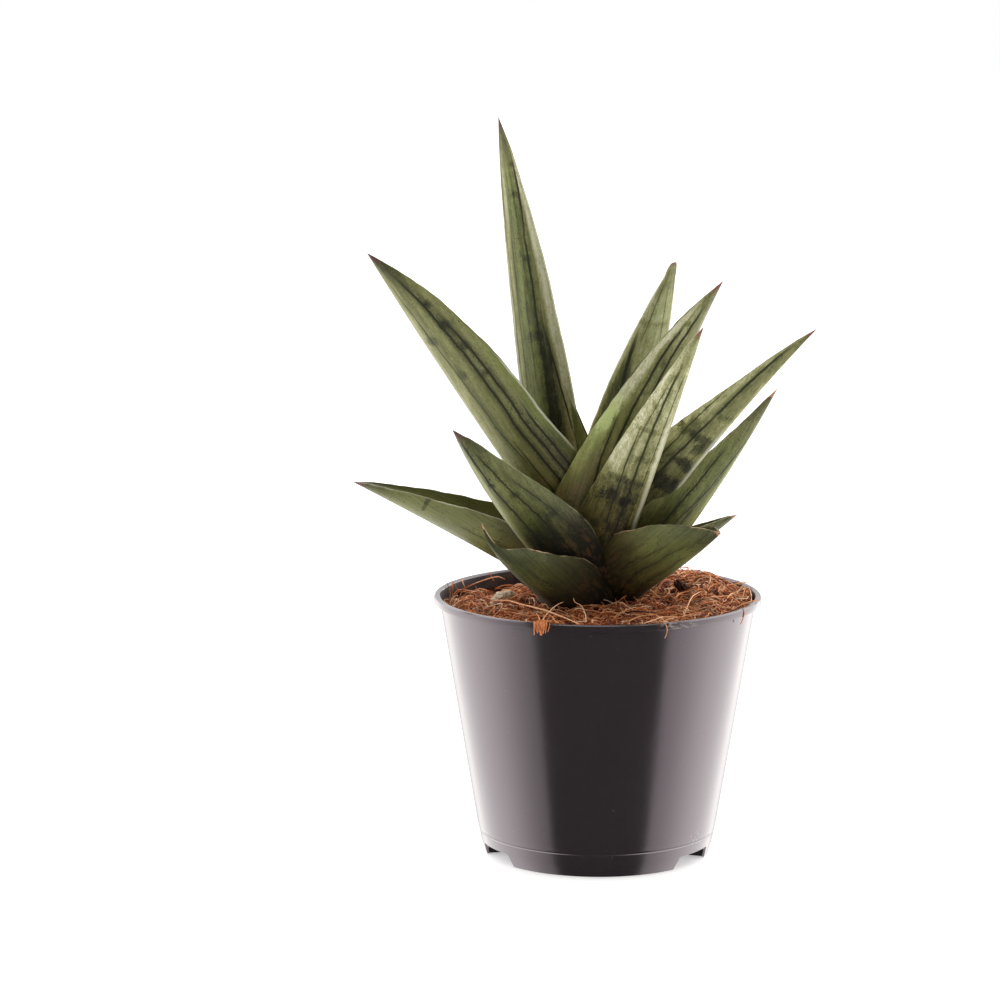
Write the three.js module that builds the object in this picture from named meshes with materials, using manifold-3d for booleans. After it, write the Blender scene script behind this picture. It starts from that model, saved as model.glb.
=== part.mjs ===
// Potted dwarf snake plant: a rosette of stiff boat-shaped leaves in a round nursery pot of coir.
// Millimetres, +Z up, the pot stands on z = 0 with its axis on Z, and the viewer is towards -Y.
import * as THREE from 'three';
import { mergeVertices } from 'three/addons/utils/BufferGeometryUtils.js';
import Module from 'manifold-3d';

const wasm = await Module();
wasm.setup();

const GAP = 0.3;                 // clearance left between pieces that touch

// Pot
const POT_HEIGHT = 96;
const RIM_RADIUS = 60;
const RIM_BAND = 2;              // height of the thickened band under the lip
const LIP_WIDTH = 2.4;           // flat top of the rim, from its outer edge inwards
const WALL = 0.9;
const WALL_TOP_RADIUS = 57.8;    // outside of the wall just under the band
const KNEE_HEIGHT = 11;          // the wall steepens slightly below this line
const KNEE_RADIUS = 44.05;
const SKIRT_HEIGHT = 5;          // the floor stands this far above the ground
const SKIRT_TOP_RADIUS = 42.8;
const FOOT_RADIUS = 41.2;        // outside of the feet where they meet the ground
const FLOOR = 1.2;
const PAD_RADIUS = 22;           // middle of the floor, sunk to the ground as a standing pad
const FEET = 3;
const FOOT_TURN = -92;           // degrees, middle of the front foot
const NOTCH_ANGLE = 30;
const WEB_DEPTH = 6;             // radial webs that stiffen the ends of each foot
const DRAIN_HOLES = 9;
const DRAIN_RADIUS = 3;
const DRAIN_RING = 33;
const POT_SEGMENTS = 60;

// Coir
const COIR_EDGE = 91.3;          // height of the coir against the wall
const COIR_CROWN = 95.2;         // height of the heap round the plant
const HEAP_RADIUS = 30;
const COIR_TILT = 1.2;           // the coir lies higher at the right than at the left
const COIR_RINGS = 6;
const COIR_SEGMENTS = 40;
const STRANDS = 44;
const STRAND_RADIUS = 0.45;

// Stem
const STEM_RADIUS = 8;
const STEM_BOTTOM = 62;
const STEM_TOP = 112;

const Z_AXIS = new THREE.Vector3(0, 0, 1);
const rad = THREE.MathUtils.degToRad;
const clamp01 = (x) => Math.min(1, Math.max(0, x));

// Repeatable draw of numbers from 0 to 1.
function seeded(seed) {
  let state = seed;
  return () => {
    state = (state * 1664525 + 1013904223) % 4294967296;
    return state / 4294967296;
  };
}

function solidOf(geometry) {
  const bare = geometry.index ? geometry.clone() : geometry;
  bare.deleteAttribute('normal');
  bare.deleteAttribute('uv');
  const merged = mergeVertices(bare, 1e-4);
  return new wasm.Manifold(new wasm.Mesh({
    numProp: 3,
    vertProperties: new Float32Array(merged.attributes.position.array),
    triVerts: new Uint32Array(merged.index.array),
  }));
}

function geometryOf(solid) {
  const mesh = solid.getMesh();
  const geometry = new THREE.BufferGeometry();
  geometry.setAttribute('position', new THREE.BufferAttribute(new Float32Array(mesh.vertProperties), 3));
  geometry.setIndex(new THREE.BufferAttribute(new Uint32Array(mesh.triVerts), 1));
  geometry.computeVertexNormals();
  return geometry;
}

function geometryFrom(points, faces) {
  const geometry = new THREE.BufferGeometry();
  const flat = points.flatMap((p) => [p.x, p.y, p.z]);
  geometry.setAttribute('position', new THREE.Float32BufferAttribute(flat, 3));
  geometry.setIndex(faces.flat());
  return geometry;
}

// A cut can leave chips behind: the piece is the largest body of the result.
function largest(solid) {
  const parts = solid.decompose();
  return parts.reduce((best, part) => (part.volume() > best.volume() ? part : best));
}

// Lathe about Z from [radius, height] pairs that run up the outside and back down the inside.
function turned(profile, segments) {
  const outline = profile.map(([r, z]) => new THREE.Vector2(r, z));
  const geometry = new THREE.LatheGeometry(outline, segments);
  geometry.rotateX(Math.PI / 2);
  return geometry;
}

function wallRadius(z) {
  const rise = (z - KNEE_HEIGHT) / (POT_HEIGHT - RIM_BAND - 1 - KNEE_HEIGHT);
  return KNEE_RADIUS + (WALL_TOP_RADIUS - KNEE_RADIUS) * rise;
}

const innerRadius = (z) => wallRadius(z) - WALL;

// Pot: wall, rim and stepped floor turned as one profile, then feet, webs and drain holes.
function potSolid() {
  const bandBottom = POT_HEIGHT - RIM_BAND - 0.4;
  const profile = [
    [0, 0],
    [PAD_RADIUS, 0],
    [PAD_RADIUS + 1.5, SKIRT_HEIGHT],
    [SKIRT_TOP_RADIUS - WALL, SKIRT_HEIGHT],
    [FOOT_RADIUS - WALL, 0],
    [FOOT_RADIUS, 0],
    [SKIRT_TOP_RADIUS, SKIRT_HEIGHT],
    [KNEE_RADIUS, KNEE_HEIGHT],
    [WALL_TOP_RADIUS, bandBottom - 0.6],
    [RIM_RADIUS, bandBottom + 0.3],
    [RIM_RADIUS, POT_HEIGHT - 0.5],
    [RIM_RADIUS - 0.5, POT_HEIGHT],
    [RIM_RADIUS - LIP_WIDTH, POT_HEIGHT],
    [innerRadius(bandBottom - 0.6), bandBottom - 1.4],
    [KNEE_RADIUS - WALL, KNEE_HEIGHT],
    [SKIRT_TOP_RADIUS - WALL + 0.3, SKIRT_HEIGHT + FLOOR],
    [PAD_RADIUS + 0.5, SKIRT_HEIGHT + FLOOR],
    [PAD_RADIUS - 1, FLOOR],
    [0, FLOOR],
  ];
  let pot = solidOf(turned(profile, POT_SEGMENTS));

  const notchWidth = 2 * FOOT_RADIUS * Math.sin(rad(NOTCH_ANGLE / 2));
  for (let i = 0; i < FEET; i += 1) {
    const middle = FOOT_TURN + (360 / FEET) * (i + 0.5);
    const outline = new THREE.Shape();
    outline.moveTo(-notchWidth / 2 - 0.6, -1);
    outline.lineTo(notchWidth / 2 + 0.6, -1);
    outline.lineTo(notchWidth / 2 - 0.4, SKIRT_HEIGHT - 1.2);
    outline.lineTo(notchWidth / 2 - 1.4, SKIRT_HEIGHT - 0.2);
    outline.lineTo(-notchWidth / 2 + 1.4, SKIRT_HEIGHT - 0.2);
    outline.lineTo(-notchWidth / 2 + 0.4, SKIRT_HEIGHT - 1.2);
    const notch = new THREE.ExtrudeGeometry(outline, { depth: 10, bevelEnabled: false });
    notch.rotateX(Math.PI / 2);
    notch.rotateZ(Math.PI);
    notch.translate(0, FOOT_RADIUS - 5, 0);
    notch.rotateZ(rad(middle - 90));
    pot = pot.subtract(solidOf(notch));

    for (const side of [-1, 1]) {
      const web = new THREE.BoxGeometry(WEB_DEPTH, WALL, SKIRT_HEIGHT);
      web.translate(FOOT_RADIUS - WEB_DEPTH / 2 - WALL / 2, 0, SKIRT_HEIGHT / 2 + 0.1);
      web.rotateZ(rad(middle + side * (NOTCH_ANGLE / 2 + 2)));
      pot = pot.add(solidOf(web));
    }
  }

  for (let i = 0; i < DRAIN_HOLES; i += 1) {
    const hole = new THREE.CylinderGeometry(DRAIN_RADIUS, DRAIN_RADIUS, 4 * FLOOR, 12);
    hole.rotateX(Math.PI / 2);
    hole.translate(DRAIN_RING, 0, SKIRT_HEIGHT + FLOOR / 2);
    hole.rotateZ(rad(FOOT_TURN + (360 / DRAIN_HOLES) * (i + 0.5)));
    pot = pot.subtract(solidOf(hole));
  }
  return pot;
}

// Stem: a short thick rootstock, rounded at both ends, that the leaves stand round.
function stemSolid(grow) {
  const radius = STEM_RADIUS + grow;
  const profile = [
    [0, STEM_BOTTOM - grow],
    [radius * 0.6, STEM_BOTTOM + 0.6 - grow],
    [radius * 0.92, STEM_BOTTOM + 4],
    [radius, STEM_BOTTOM + 9],
    [radius, STEM_TOP - 18],
    [radius * 0.75, STEM_TOP - 8],
    [radius * 0.45, STEM_TOP - 2],
    [0, STEM_TOP + grow],
  ];
  return solidOf(turned(profile, 20));
}

// Leaves, the youngest first. turn is the compass direction of the lean (0 is +X, 270 the viewer),
// out and up place the foot of the keel, rise is the climb in degrees, curve what the climb gains
// along the leaf, hook what the last fifth adds, roll turns the leaf about its own length, width
// is the widest chord, deep the channel's depth as a share of it, heel the share of the depth
// left at the foot, and taper the fullness.
const LEAVES = [
  { name: 'leaf_spike', turn: 175, out: 2, up: 112, length: 57.7, rise: 81.4, width: 13, taper: 2.2 },
  { name: 'leaf_back_right', turn: 66, out: 11, up: 105, length: 122.8, rise: 58.8, curve: 5,
    width: 24, deep: 0.88, taper: 2.5 },
  { name: 'leaf_left_long', turn: 200, out: 9, up: 100.5, length: 146.7, rise: 55.7, curve: 3,
    roll: -12, width: 31.5, deep: 0.7, taper: 4.3 },
  { name: 'leaf_right_upper', turn: 340, out: 6.5, up: 103, length: 117.9, rise: 68.8, curve: -11,
    roll: -12, width: 32, deep: 0.92, taper: 2.37 },
  { name: 'leaf_tall', turn: 148, out: 16, up: 90, length: 181.3, rise: 81.3, roll: 25, width: 22,
    deep: 0.6, taper: 3 },
  { name: 'leaf_right_long', turn: 331, out: 10, up: 98, length: 128.8, rise: 50.2, curve: -9,
    roll: 3, width: 26.4, deep: 1.19, taper: 1.12 },
  { name: 'leaf_front_pale', turn: 304, out: 11, up: 96, length: 118.5, rise: 61.2, curve: 2.4,
    roll: -14, width: 21.5, deep: 0.96, taper: 2.1 },
  { name: 'leaf_left_mid', turn: 224, out: 15, up: 94, length: 90, rise: 48.7, curve: 16,
    roll: -2, width: 31, deep: 0.65, heel: 0.5, taper: 2.6 },
  { name: 'leaf_right_mid', turn: 345, out: 15, up: 91, length: 98.5, rise: 56.5, curve: 12.5,
    roll: -5, width: 24, deep: 1.12, taper: 1.4 },
  { name: 'leaf_back_mid', turn: 92, out: 15, up: 93, length: 64, rise: 45, width: 23, taper: 2.1 },
  { name: 'leaf_right_low', turn: 350, out: 14, up: 91, length: 52.5, rise: 41, width: 20,
    heel: 0.5, taper: 2 },
  { name: 'leaf_left_low', turn: 180, out: 14, up: 89, length: 91.1, rise: 28.6, curve: -2.4,
    roll: 5.4, width: 22.3, deep: 0.98, heel: 0.5, taper: 2.2 },
  { name: 'leaf_back_right_low', turn: 48, out: 16, up: 90, length: 54, rise: 34, width: 22,
    heel: 0.5, taper: 2 },
  { name: 'leaf_back_left_low', turn: 135, out: 16, up: 90, length: 48, rise: 36, width: 21,
    heel: 0.5, taper: 2 },
  { name: 'leaf_front_right_low', turn: 311, out: 14, up: 89, length: 65.2, rise: 32.8, curve: 6.6,
    roll: 9.7, width: 23.4, deep: 0.95, heel: 0.5, taper: 3.8 },
  { name: 'leaf_front_left_low', turn: 241, out: 17.6, up: 84, length: 84.3, rise: 31.1, curve: 10.5,
    roll: -8.7, hook: 29.7, width: 32.3, deep: 0.7, heel: 0.5, taper: 1.13 },
];
const STATIONS = [0, 0.06, 0.13, 0.22, 0.34, 0.48, 0.62, 0.76, 0.88, 0.95];
const OUTER_POINTS = 7;
const INNER_POINTS = 4;
const SHEATH_RISE = 80;          // every leaf leaves the crown this steeply
const SHEATH_SHARE = 0.08;       // and falls to its own rise over this share of its length
const KEEL_SHARE = 0.25;         // how much of the section is a V rather than a U
const TOP_ANGLE = rad(88);
const LIP = 0.6;                 // thickness of the leaf's margin

// Keel line of a leaf with the frame that its sections stand in.
function keelLine(leaf) {
  const steps = 100;
  const aside = new THREE.Vector3(Math.cos(rad(leaf.turn)), Math.sin(rad(leaf.turn)), 0);
  const point = aside.clone().multiplyScalar(leaf.out).addScaledVector(Z_AXIS, leaf.up);
  const roll = rad(leaf.roll ?? 0);
  const line = [];
  for (let i = 0; i <= steps; i += 1) {
    const t = i / steps;
    const climb = rad(leaf.rise + (leaf.curve ?? 0) * (t - 0.5)
      + (leaf.hook ?? 0) * clamp01((t - 0.8) / 0.2)
      + (SHEATH_RISE - leaf.rise) * Math.exp(-t / SHEATH_SHARE));
    const along = aside.clone().multiplyScalar(Math.cos(climb)).addScaledVector(Z_AXIS, Math.sin(climb));
    if (i > 0) point.addScaledVector(along, leaf.length / steps);
    const inward = aside.clone().multiplyScalar(-Math.sin(climb)).addScaledVector(Z_AXIS, Math.cos(climb));
    const across = new THREE.Vector3().crossVectors(inward, along);
    line.push({
      point: point.clone(),
      inward: inward.clone().multiplyScalar(Math.cos(roll)).addScaledVector(across, Math.sin(roll)),
      across: across.clone().multiplyScalar(Math.cos(roll)).addScaledVector(inward, -Math.sin(roll)),
    });
  }
  return (t) => line[Math.round(t * steps)];
}

// Section of a leaf at share t of its length: [across, inward] pairs, keel side first, then channel.
function leafSection(leaf, t, grow) {
  const shoulder = 0.9 + 0.1 * Math.min(1, t / 0.2);
  const width = leaf.width * (1 - t ** leaf.taper) * shoulder + 1;
  const heel = leaf.heel ?? 1;
  const depth = (leaf.deep ?? 0.8) * width * (1 - 0.35 * t) * (heel + (1 - heel) * Math.min(1, t / 0.3));
  const flesh = 0.26 * width * (1 - t ** 6) + depth * t ** 6;
  const ring = [];
  for (let i = 0; i < OUTER_POINTS; i += 1) {
    const a = TOP_ANGLE * ((2 * i) / (OUTER_POINTS - 1) - 1);
    const round = (1 - KEEL_SHARE) * (1 - Math.cos(a)) + KEEL_SHARE * Math.abs(Math.sin(a)) ** 1.3;
    ring.push([(width / 2 + grow) * Math.sin(a), (depth + 2 * grow) * round - grow]);
  }
  for (let i = INNER_POINTS - 1; i >= 0; i -= 1) {
    const a = TOP_ANGLE * ((2 * i) / (INNER_POINTS - 1) - 1);
    const half = Math.max(0.05, width / 2 - LIP - grow);
    ring.push([half * Math.sin(a), flesh + grow + (depth - flesh) * (1 - Math.cos(a))]);
  }
  return ring;
}

function leafSolid(leaf, grow) {
  const line = keelLine(leaf);
  const points = [];
  for (const t of STATIONS) {
    const { point, inward, across } = line(t);
    for (const [x, y] of leafSection(leaf, t, grow)) {
      points.push(point.clone().addScaledVector(across, x).addScaledVector(inward, y));
    }
  }
  const tip = line(1);
  points.push(tip.point.clone().addScaledVector(tip.inward, grow));

  const faces = [];
  const count = OUTER_POINTS + INNER_POINTS;
  for (let s = 0; s + 1 < STATIONS.length; s += 1) {
    for (let i = 0; i < count; i += 1) {
      const a = s * count + i;
      const b = s * count + ((i + 1) % count);
      faces.push([a, b, b + count], [a, b + count, a + count]);
    }
  }
  const last = (STATIONS.length - 1) * count;
  for (let i = 0; i < count; i += 1) {
    faces.push([last + i, last + ((i + 1) % count), points.length - 1]);
  }
  for (let k = 0; k + 1 < INNER_POINTS; k += 1) {
    const o = 2 * k;
    const inner = count - 1 - k;
    faces.push([o + 1, o, inner], [o + 1, inner, inner - 1], [o + 2, o + 1, inner - 1]);
  }
  const solid = solidOf(geometryFrom(points, faces));
  return solid;
}

// Coir: a body that fills the pot, with a heaped, lumpy top.
function coirTop(r, a) {
  const heap = 1 - clamp01((r - 14) / (HEAP_RADIUS + 12)) ** 0.8;
  const lumps = 0.5 * Math.sin(3 * a + r * 0.21) + 0.4 * Math.sin(7 * a - r * 0.33 + 1)
    + 0.35 * Math.sin(11 * a + r * 0.52 + 2);
  return COIR_EDGE + (COIR_CROWN - COIR_EDGE) * heap + COIR_TILT * Math.cos(a - 0.4) * (r / RIM_RADIUS)
    + lumps;
}

function coirBody() {
  const points = [];
  const rim = innerRadius(COIR_EDGE) - GAP;
  const levels = [
    [PAD_RADIUS - 1 - 0.5, FLOOR + GAP],
    [PAD_RADIUS, SKIRT_HEIGHT + FLOOR + GAP],
    [SKIRT_TOP_RADIUS - WALL - 0.1, SKIRT_HEIGHT + FLOOR + GAP],
    [KNEE_RADIUS - WALL - GAP, KNEE_HEIGHT],
  ];
  const ring = (r, height) => {
    for (let i = 0; i < COIR_SEGMENTS; i += 1) {
      const a = (2 * Math.PI * i) / COIR_SEGMENTS;
      points.push(new THREE.Vector3(r * Math.cos(a), r * Math.sin(a), height(r, a)));
    }
  };
  points.push(new THREE.Vector3(0, 0, FLOOR + GAP));
  for (const [r, z] of levels) ring(r, () => z);
  for (let k = COIR_RINGS; k > 0; k -= 1) ring((rim * k) / COIR_RINGS, coirTop);
  points.push(new THREE.Vector3(0, 0, coirTop(0, 0)));

  const faces = [];
  const n = COIR_SEGMENTS;
  const rings = levels.length + COIR_RINGS;
  for (let i = 0; i < n; i += 1) {
    const j = (i + 1) % n;
    faces.push([0, 1 + j, 1 + i]);
    for (let k = 0; k + 1 < rings; k += 1) {
      const a = 1 + k * n;
      faces.push([a + i, a + j, a + n + j], [a + i, a + n + j, a + n + i]);
    }
    const top = 1 + (rings - 1) * n;
    faces.push([top + i, top + j, points.length - 1]);
  }
  return solidOf(geometryFrom(points, faces));
}

// One coir strand: a three-sided bar along a smooth curve.
function strandSolid(path, radius) {
  const curve = new THREE.CatmullRomCurve3(path);
  const steps = 5;
  const points = [];
  const faces = [];
  for (let s = 0; s <= steps; s += 1) {
    const at = curve.getPoint(s / steps);
    const along = curve.getTangent(s / steps);
    const side = new THREE.Vector3().crossVectors(Z_AXIS, along).normalize();
    const upward = new THREE.Vector3().crossVectors(along, side);
    for (let i = 0; i < 3; i += 1) {
      const a = Math.PI / 2 + (2 * Math.PI * i) / 3;
      points.push(at.clone().addScaledVector(side, radius * Math.cos(a))
        .addScaledVector(upward, radius * Math.sin(a)));
    }
    if (s === 0) continue;
    for (let i = 0; i < 3; i += 1) {
      const a = (s - 1) * 3 + i;
      const b = (s - 1) * 3 + ((i + 1) % 3);
      faces.push([a, b, b + 3], [a, b + 3, a + 3]);
    }
  }
  const last = steps * 3;
  faces.push([0, 2, 1], [last, last + 1, last + 2]);
  const solid = solidOf(geometryFrom(points, faces));
  return solid.volume() > 0 ? solid : null;
}

// Strands that lie across the coir, both ends sunk in it, bowed up in the middle.
function lyingStrands() {
  const draw = seeded(7);
  const strands = [];
  const limit = innerRadius(POT_HEIGHT) - 4;
  while (strands.length < STRANDS) {
    const r = 14 + 40 * Math.sqrt(draw());
    const a = 2 * Math.PI * draw();
    const heading = 2 * Math.PI * draw();
    const length = 12 + 20 * draw();
    const bow = 1 + 2.4 * draw();
    const bend = 8 * (draw() - 0.5);
    const path = [];
    for (const s of [-0.5, -0.2, 0.1, 0.5]) {
      const x = r * Math.cos(a) + length * s * Math.cos(heading) - bend * (s * s) * Math.sin(heading);
      const y = r * Math.sin(a) + length * s * Math.sin(heading) + bend * (s * s) * Math.cos(heading);
      const from = Math.min(limit, Math.hypot(x, y));
      const lift = Math.abs(s) === 0.5 ? -1.4 : bow;
      const around = Math.atan2(y, x);
      path.push(new THREE.Vector3(from * Math.cos(around), from * Math.sin(around),
        coirTop(from, around) + lift));
    }
    const strand = strandSolid(path, STRAND_RADIUS);
    if (strand) strands.push(strand);
  }
  return strands;
}

// Loose strands that stand clear of the lip: a tuft over the front of the rim, and a few that
// rise above it at the left and right. Each is [compass direction, reach past the wall, height].
const LOOSE_STRANDS = [
  [249, 2.6, 4.6], [252, 3.2, 2.9], [246, 1.6, 3.8], [256, 1.2, 3.2],
  [196, -4, 5.5], [186, -6, 6.5], [171, -7, 5],
  [18, -5, 5.5], [8, -3, 4.5], [333, -4, 4], [292, -3, 3.4],
];

function looseStrands() {
  return LOOSE_STRANDS.map(([turn, reach, height]) => {
    const path = [[-15, -1.5, -6], [-9, 1.6, -2], [-4, height * 0.9, 0], [reach, height, 3]].map(
      ([back, lift, swing]) => {
        const r = innerRadius(POT_HEIGHT) + back;
        const a = rad(turn + swing);
        const base = back === reach || back === -4 ? Math.max(coirTop(r, a), 94) : coirTop(r, a);
        return new THREE.Vector3(r * Math.cos(a), r * Math.sin(a), base + lift);
      },
    );
    return strandSolid(path, STRAND_RADIUS);
  });
}

// A crumb or chip lying in the coir: an irregular pebble, sized by its three half widths.
function crumbSolid(place, halves, turn, seed, grow) {
  const draw = seeded(seed);
  const geometry = new THREE.IcosahedronGeometry(1, 1);
  geometry.deleteAttribute('normal');
  geometry.deleteAttribute('uv');
  const merged = mergeVertices(geometry, 1e-4);
  const position = merged.attributes.position;
  for (let i = 0; i < position.count; i += 1) {
    const bump = 0.86 + 0.26 * draw();
    position.setXYZ(i, position.getX(i) * (halves[0] * bump + grow),
      position.getY(i) * (halves[1] * bump + grow), position.getZ(i) * (halves[2] * bump + grow));
  }
  merged.rotateZ(rad(turn));
  merged.translate(...place);
  return solidOf(merged);
}

const CRUMBS = [
  { name: 'bark_chip', place: [31, 4, 94.6], halves: [1.9, 4.6, 1.7], turn: -25, seed: 11,
    colour: 0x3a2620, roughness: 0.9 },
  { name: 'pale_fragment_left', place: [-34, 0, 94.2], halves: [4.6, 3.4, 2.4], turn: 20, seed: 5,
    colour: 0xd8c9b4, roughness: 0.95 },
  { name: 'pale_fragment_right', place: [26.5, 28, 94], halves: [2.6, 2.2, 1.7], turn: 70, seed: 3,
    colour: 0xcdb9a0, roughness: 0.95 },
];

const plant = new THREE.Group();

function place(name, solid, colour, roughness) {
  const material = new THREE.MeshStandardMaterial({ color: colour, roughness, metalness: 0 });
  const mesh = new THREE.Mesh(geometryOf(solid), material);
  mesh.name = name;
  plant.add(mesh);
}

place('pot', potSolid(), 0x3b3c41, 0.35);
place('stem', stemSolid(0), 0x8a8a5c, 0.8);

let taken = stemSolid(GAP);
for (const leaf of LEAVES) {
  const solid = largest(leafSolid(leaf, 0).subtract(taken));
  place(leaf.name, solid, 0x7d8a68, 0.55);
  taken = taken.add(leafSolid(leaf, GAP));
}
for (const crumb of CRUMBS) {
  const solid = crumbSolid(crumb.place, crumb.halves, crumb.turn, crumb.seed, 0).subtract(taken);
  place(crumb.name, largest(solid), crumb.colour, crumb.roughness);
  taken = taken.add(crumbSolid(crumb.place, crumb.halves, crumb.turn, crumb.seed, GAP));
}

let coir = coirBody();
for (const strand of [...lyingStrands(), ...looseStrands()]) coir = coir.add(strand);
place('coir_substrate', largest(coir.subtract(taken)), 0xa5673c, 0.95);

export default plant;
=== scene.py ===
import math
import random

import bpy
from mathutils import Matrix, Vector, noise


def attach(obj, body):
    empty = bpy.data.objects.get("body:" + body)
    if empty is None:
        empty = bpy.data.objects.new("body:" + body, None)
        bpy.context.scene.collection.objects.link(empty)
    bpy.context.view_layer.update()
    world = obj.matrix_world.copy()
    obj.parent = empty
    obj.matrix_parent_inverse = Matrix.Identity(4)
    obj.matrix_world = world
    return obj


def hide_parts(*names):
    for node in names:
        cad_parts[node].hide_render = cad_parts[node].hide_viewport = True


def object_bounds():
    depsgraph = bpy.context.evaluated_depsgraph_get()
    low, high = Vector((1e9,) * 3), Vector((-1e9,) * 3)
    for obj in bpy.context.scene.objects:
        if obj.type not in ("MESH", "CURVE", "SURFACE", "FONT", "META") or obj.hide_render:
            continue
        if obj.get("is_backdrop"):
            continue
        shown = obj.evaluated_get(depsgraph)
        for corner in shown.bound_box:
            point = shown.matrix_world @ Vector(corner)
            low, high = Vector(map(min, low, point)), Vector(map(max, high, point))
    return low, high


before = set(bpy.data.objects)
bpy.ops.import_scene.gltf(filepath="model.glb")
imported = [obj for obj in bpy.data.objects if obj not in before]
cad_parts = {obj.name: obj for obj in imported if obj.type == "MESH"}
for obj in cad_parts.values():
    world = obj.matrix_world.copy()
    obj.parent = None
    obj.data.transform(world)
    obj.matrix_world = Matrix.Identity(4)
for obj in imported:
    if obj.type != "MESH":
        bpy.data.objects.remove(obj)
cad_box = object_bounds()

# Camera, floor and studio light.
# The picture is taken from a little above the rim with a long lens. White paper lies under and
# behind the pot, and two large soft panels stand to the left and right in front of it.
bpy.ops.object.camera_add(location=(0, -1.330, 0.350),
                          rotation=(math.radians(90 - 9.36), 0, math.radians(1.5415)))
camera = bpy.context.object
camera.data.sensor_width = 36
camera.data.lens = 132.84
bpy.context.scene.camera = camera
bpy.context.scene.view_settings.view_transform = "Standard"


class NodeDesk:
    """Lays out shader nodes in small steps; each step gives back the socket with its result."""

    def __init__(self, tree):
        self.tree = tree

    def node(self, kind, values, **settings):
        made = self.tree.nodes.new(kind)
        for key, value in settings.items():
            setattr(made, key, value)
        for key, value in values.items():
            if isinstance(value, bpy.types.NodeSocket):
                self.tree.links.new(value, made.inputs[key])
            else:
                made.inputs[key].default_value = value
        return made

    def calc(self, operation, *values):
        return self.node("ShaderNodeMath", dict(enumerate(values)), operation=operation).outputs[0]

    def each(self, operation, values):
        made = values[0]
        for value in values[1:]:
            made = self.calc(operation, made, value)
        return made

    def plus(self, *values):
        return self.each("ADD", values)

    def times(self, *values):
        return self.each("MULTIPLY", values)

    def higher(self, *values):
        return self.each("MAXIMUM", values)

    def minus(self, value, less):
        return self.calc("SUBTRACT", value, less)

    def swing(self, value, size):
        """A pattern that runs from 0 to 1, made to swing about 0."""
        return self.times(self.minus(value, 0.5), size)

    def ease(self, value, low, high, top=1.0):
        made = self.node("ShaderNodeMapRange",
                         {"Value": value, "From Min": low, "From Max": high, "To Max": top},
                         interpolation_type="SMOOTHSTEP")
        return made.outputs[0]


class Finish(NodeDesk):
    """A material with one Principled shader; its constants are set on the shader's own sockets."""

    def __init__(self, name, **constants):
        self.material = bpy.data.materials.new(name)
        self.material.use_nodes = True
        super().__init__(self.material.node_tree)
        self.shader = self.tree.nodes["Principled BSDF"]
        for key, value in constants.items():
            self.shader.inputs[key.replace("_", " ")].default_value = value

    def mix(self, share, low, high, blend="MIX"):
        made = self.node("ShaderNodeMix", {0: share, 6: low, 7: high}, data_type="RGBA",
                         blend_type=blend)
        return made.outputs[2]

    def ramp(self, value, stops):
        made = self.node("ShaderNodeValToRGB", {0: value})
        row = made.color_ramp.elements
        for position, colour in stops:
            stop = row.new(position) if 0 < position < 1 else row[0 if position == 0 else -1]
            stop.color = colour
        return made.outputs[0]

    def own(self, key):
        return self.node("ShaderNodeAttribute", {}, attribute_name=key).outputs["Fac"]

    def place(self):
        return self.node("ShaderNodeTexCoord", {}).outputs["Object"]

    def stretched(self, place, scale):
        return self.node("ShaderNodeMapping", {"Vector": place, "Scale": scale}).outputs[0]

    def grain(self, place, scale, detail=2.0, roughness=0.5):
        made = self.node("ShaderNodeTexNoise", {"Vector": place, "Scale": scale, "Detail": detail,
                                                "Roughness": roughness})
        return made.outputs["Fac"]

    def near(self, place, centre, radius):
        away = self.node("ShaderNodeVectorMath", {0: place, 1: centre}, operation="DISTANCE")
        return self.ease(away.outputs["Value"], radius, 0.3 * radius)

    def relief(self, height, depth, strength=1.0, below=None):
        values = {"Height": height, "Distance": depth, "Strength": strength}
        if below is not None:
            values["Normal"] = below
        return self.node("ShaderNodeBump", values).outputs["Normal"]

    def wire(self, socket, value):
        self.tree.links.new(value, self.shader.inputs[socket])


bpy.ops.mesh.primitive_plane_add(size=12)
paper = bpy.context.object
paper.name = "paper_floor"
paper.visible_glossy = False
paper.data.materials.append(Finish(
    "paper_white", Base_Color=(0.86, 0.86, 0.86, 1), Roughness=0.9, Specular_IOR_Level=0.0,
    Emission_Color=(1, 1, 1, 1), Emission_Strength=0.42).material)
paper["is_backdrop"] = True

# Bearings and heights are in degrees, with the camera at bearing 0.
world = bpy.data.worlds.new("studio")
bpy.context.scene.world = world
world.use_nodes = True
world.node_tree.nodes.clear()
light = NodeDesk(world.node_tree)
where = light.node("ShaderNodeTexCoord", {}).outputs["Generated"]
x, y, z = light.node("ShaderNodeSeparateXYZ", {0: where}).outputs
bearing = light.times(light.calc("ARCTAN2", x, light.times(y, -1.0)), math.degrees(1))
height = light.times(light.calc("ARCSINE", z), math.degrees(1))
left = light.times(light.ease(bearing, -46.5, -52), light.ease(bearing, -178, -150),
                   light.plus(0.96, light.times(light.ease(bearing, -48, -104), 1.85)))
right = light.times(light.ease(bearing, 53, 58.5), light.ease(bearing, 178, 150),
                    light.plus(1.35, light.times(light.ease(bearing, 56, 108), 1.6)))
panels = light.times(light.plus(left, right), light.ease(height, -82, -66),
                     light.ease(height, 74, 48))
wall_behind = light.times(light.ease(light.calc("ABSOLUTE", bearing), 96, 140), 1.25)
overhead = light.times(light.ease(height, 42, 80), 1.7)
glow = light.higher(light.plus(0.13, panels), wall_behind, overhead)
lamp = light.node("ShaderNodeBackground", {"Color": (1.0, 0.975, 0.965, 1), "Strength": glow})
white = light.node("ShaderNodeBackground", {"Color": (1, 1, 1, 1)})
seen = light.node("ShaderNodeLightPath", {}).outputs["Is Camera Ray"]
both = light.node("ShaderNodeMixShader", {0: seen, 1: lamp.outputs[0], 2: white.outputs[0]})
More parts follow.
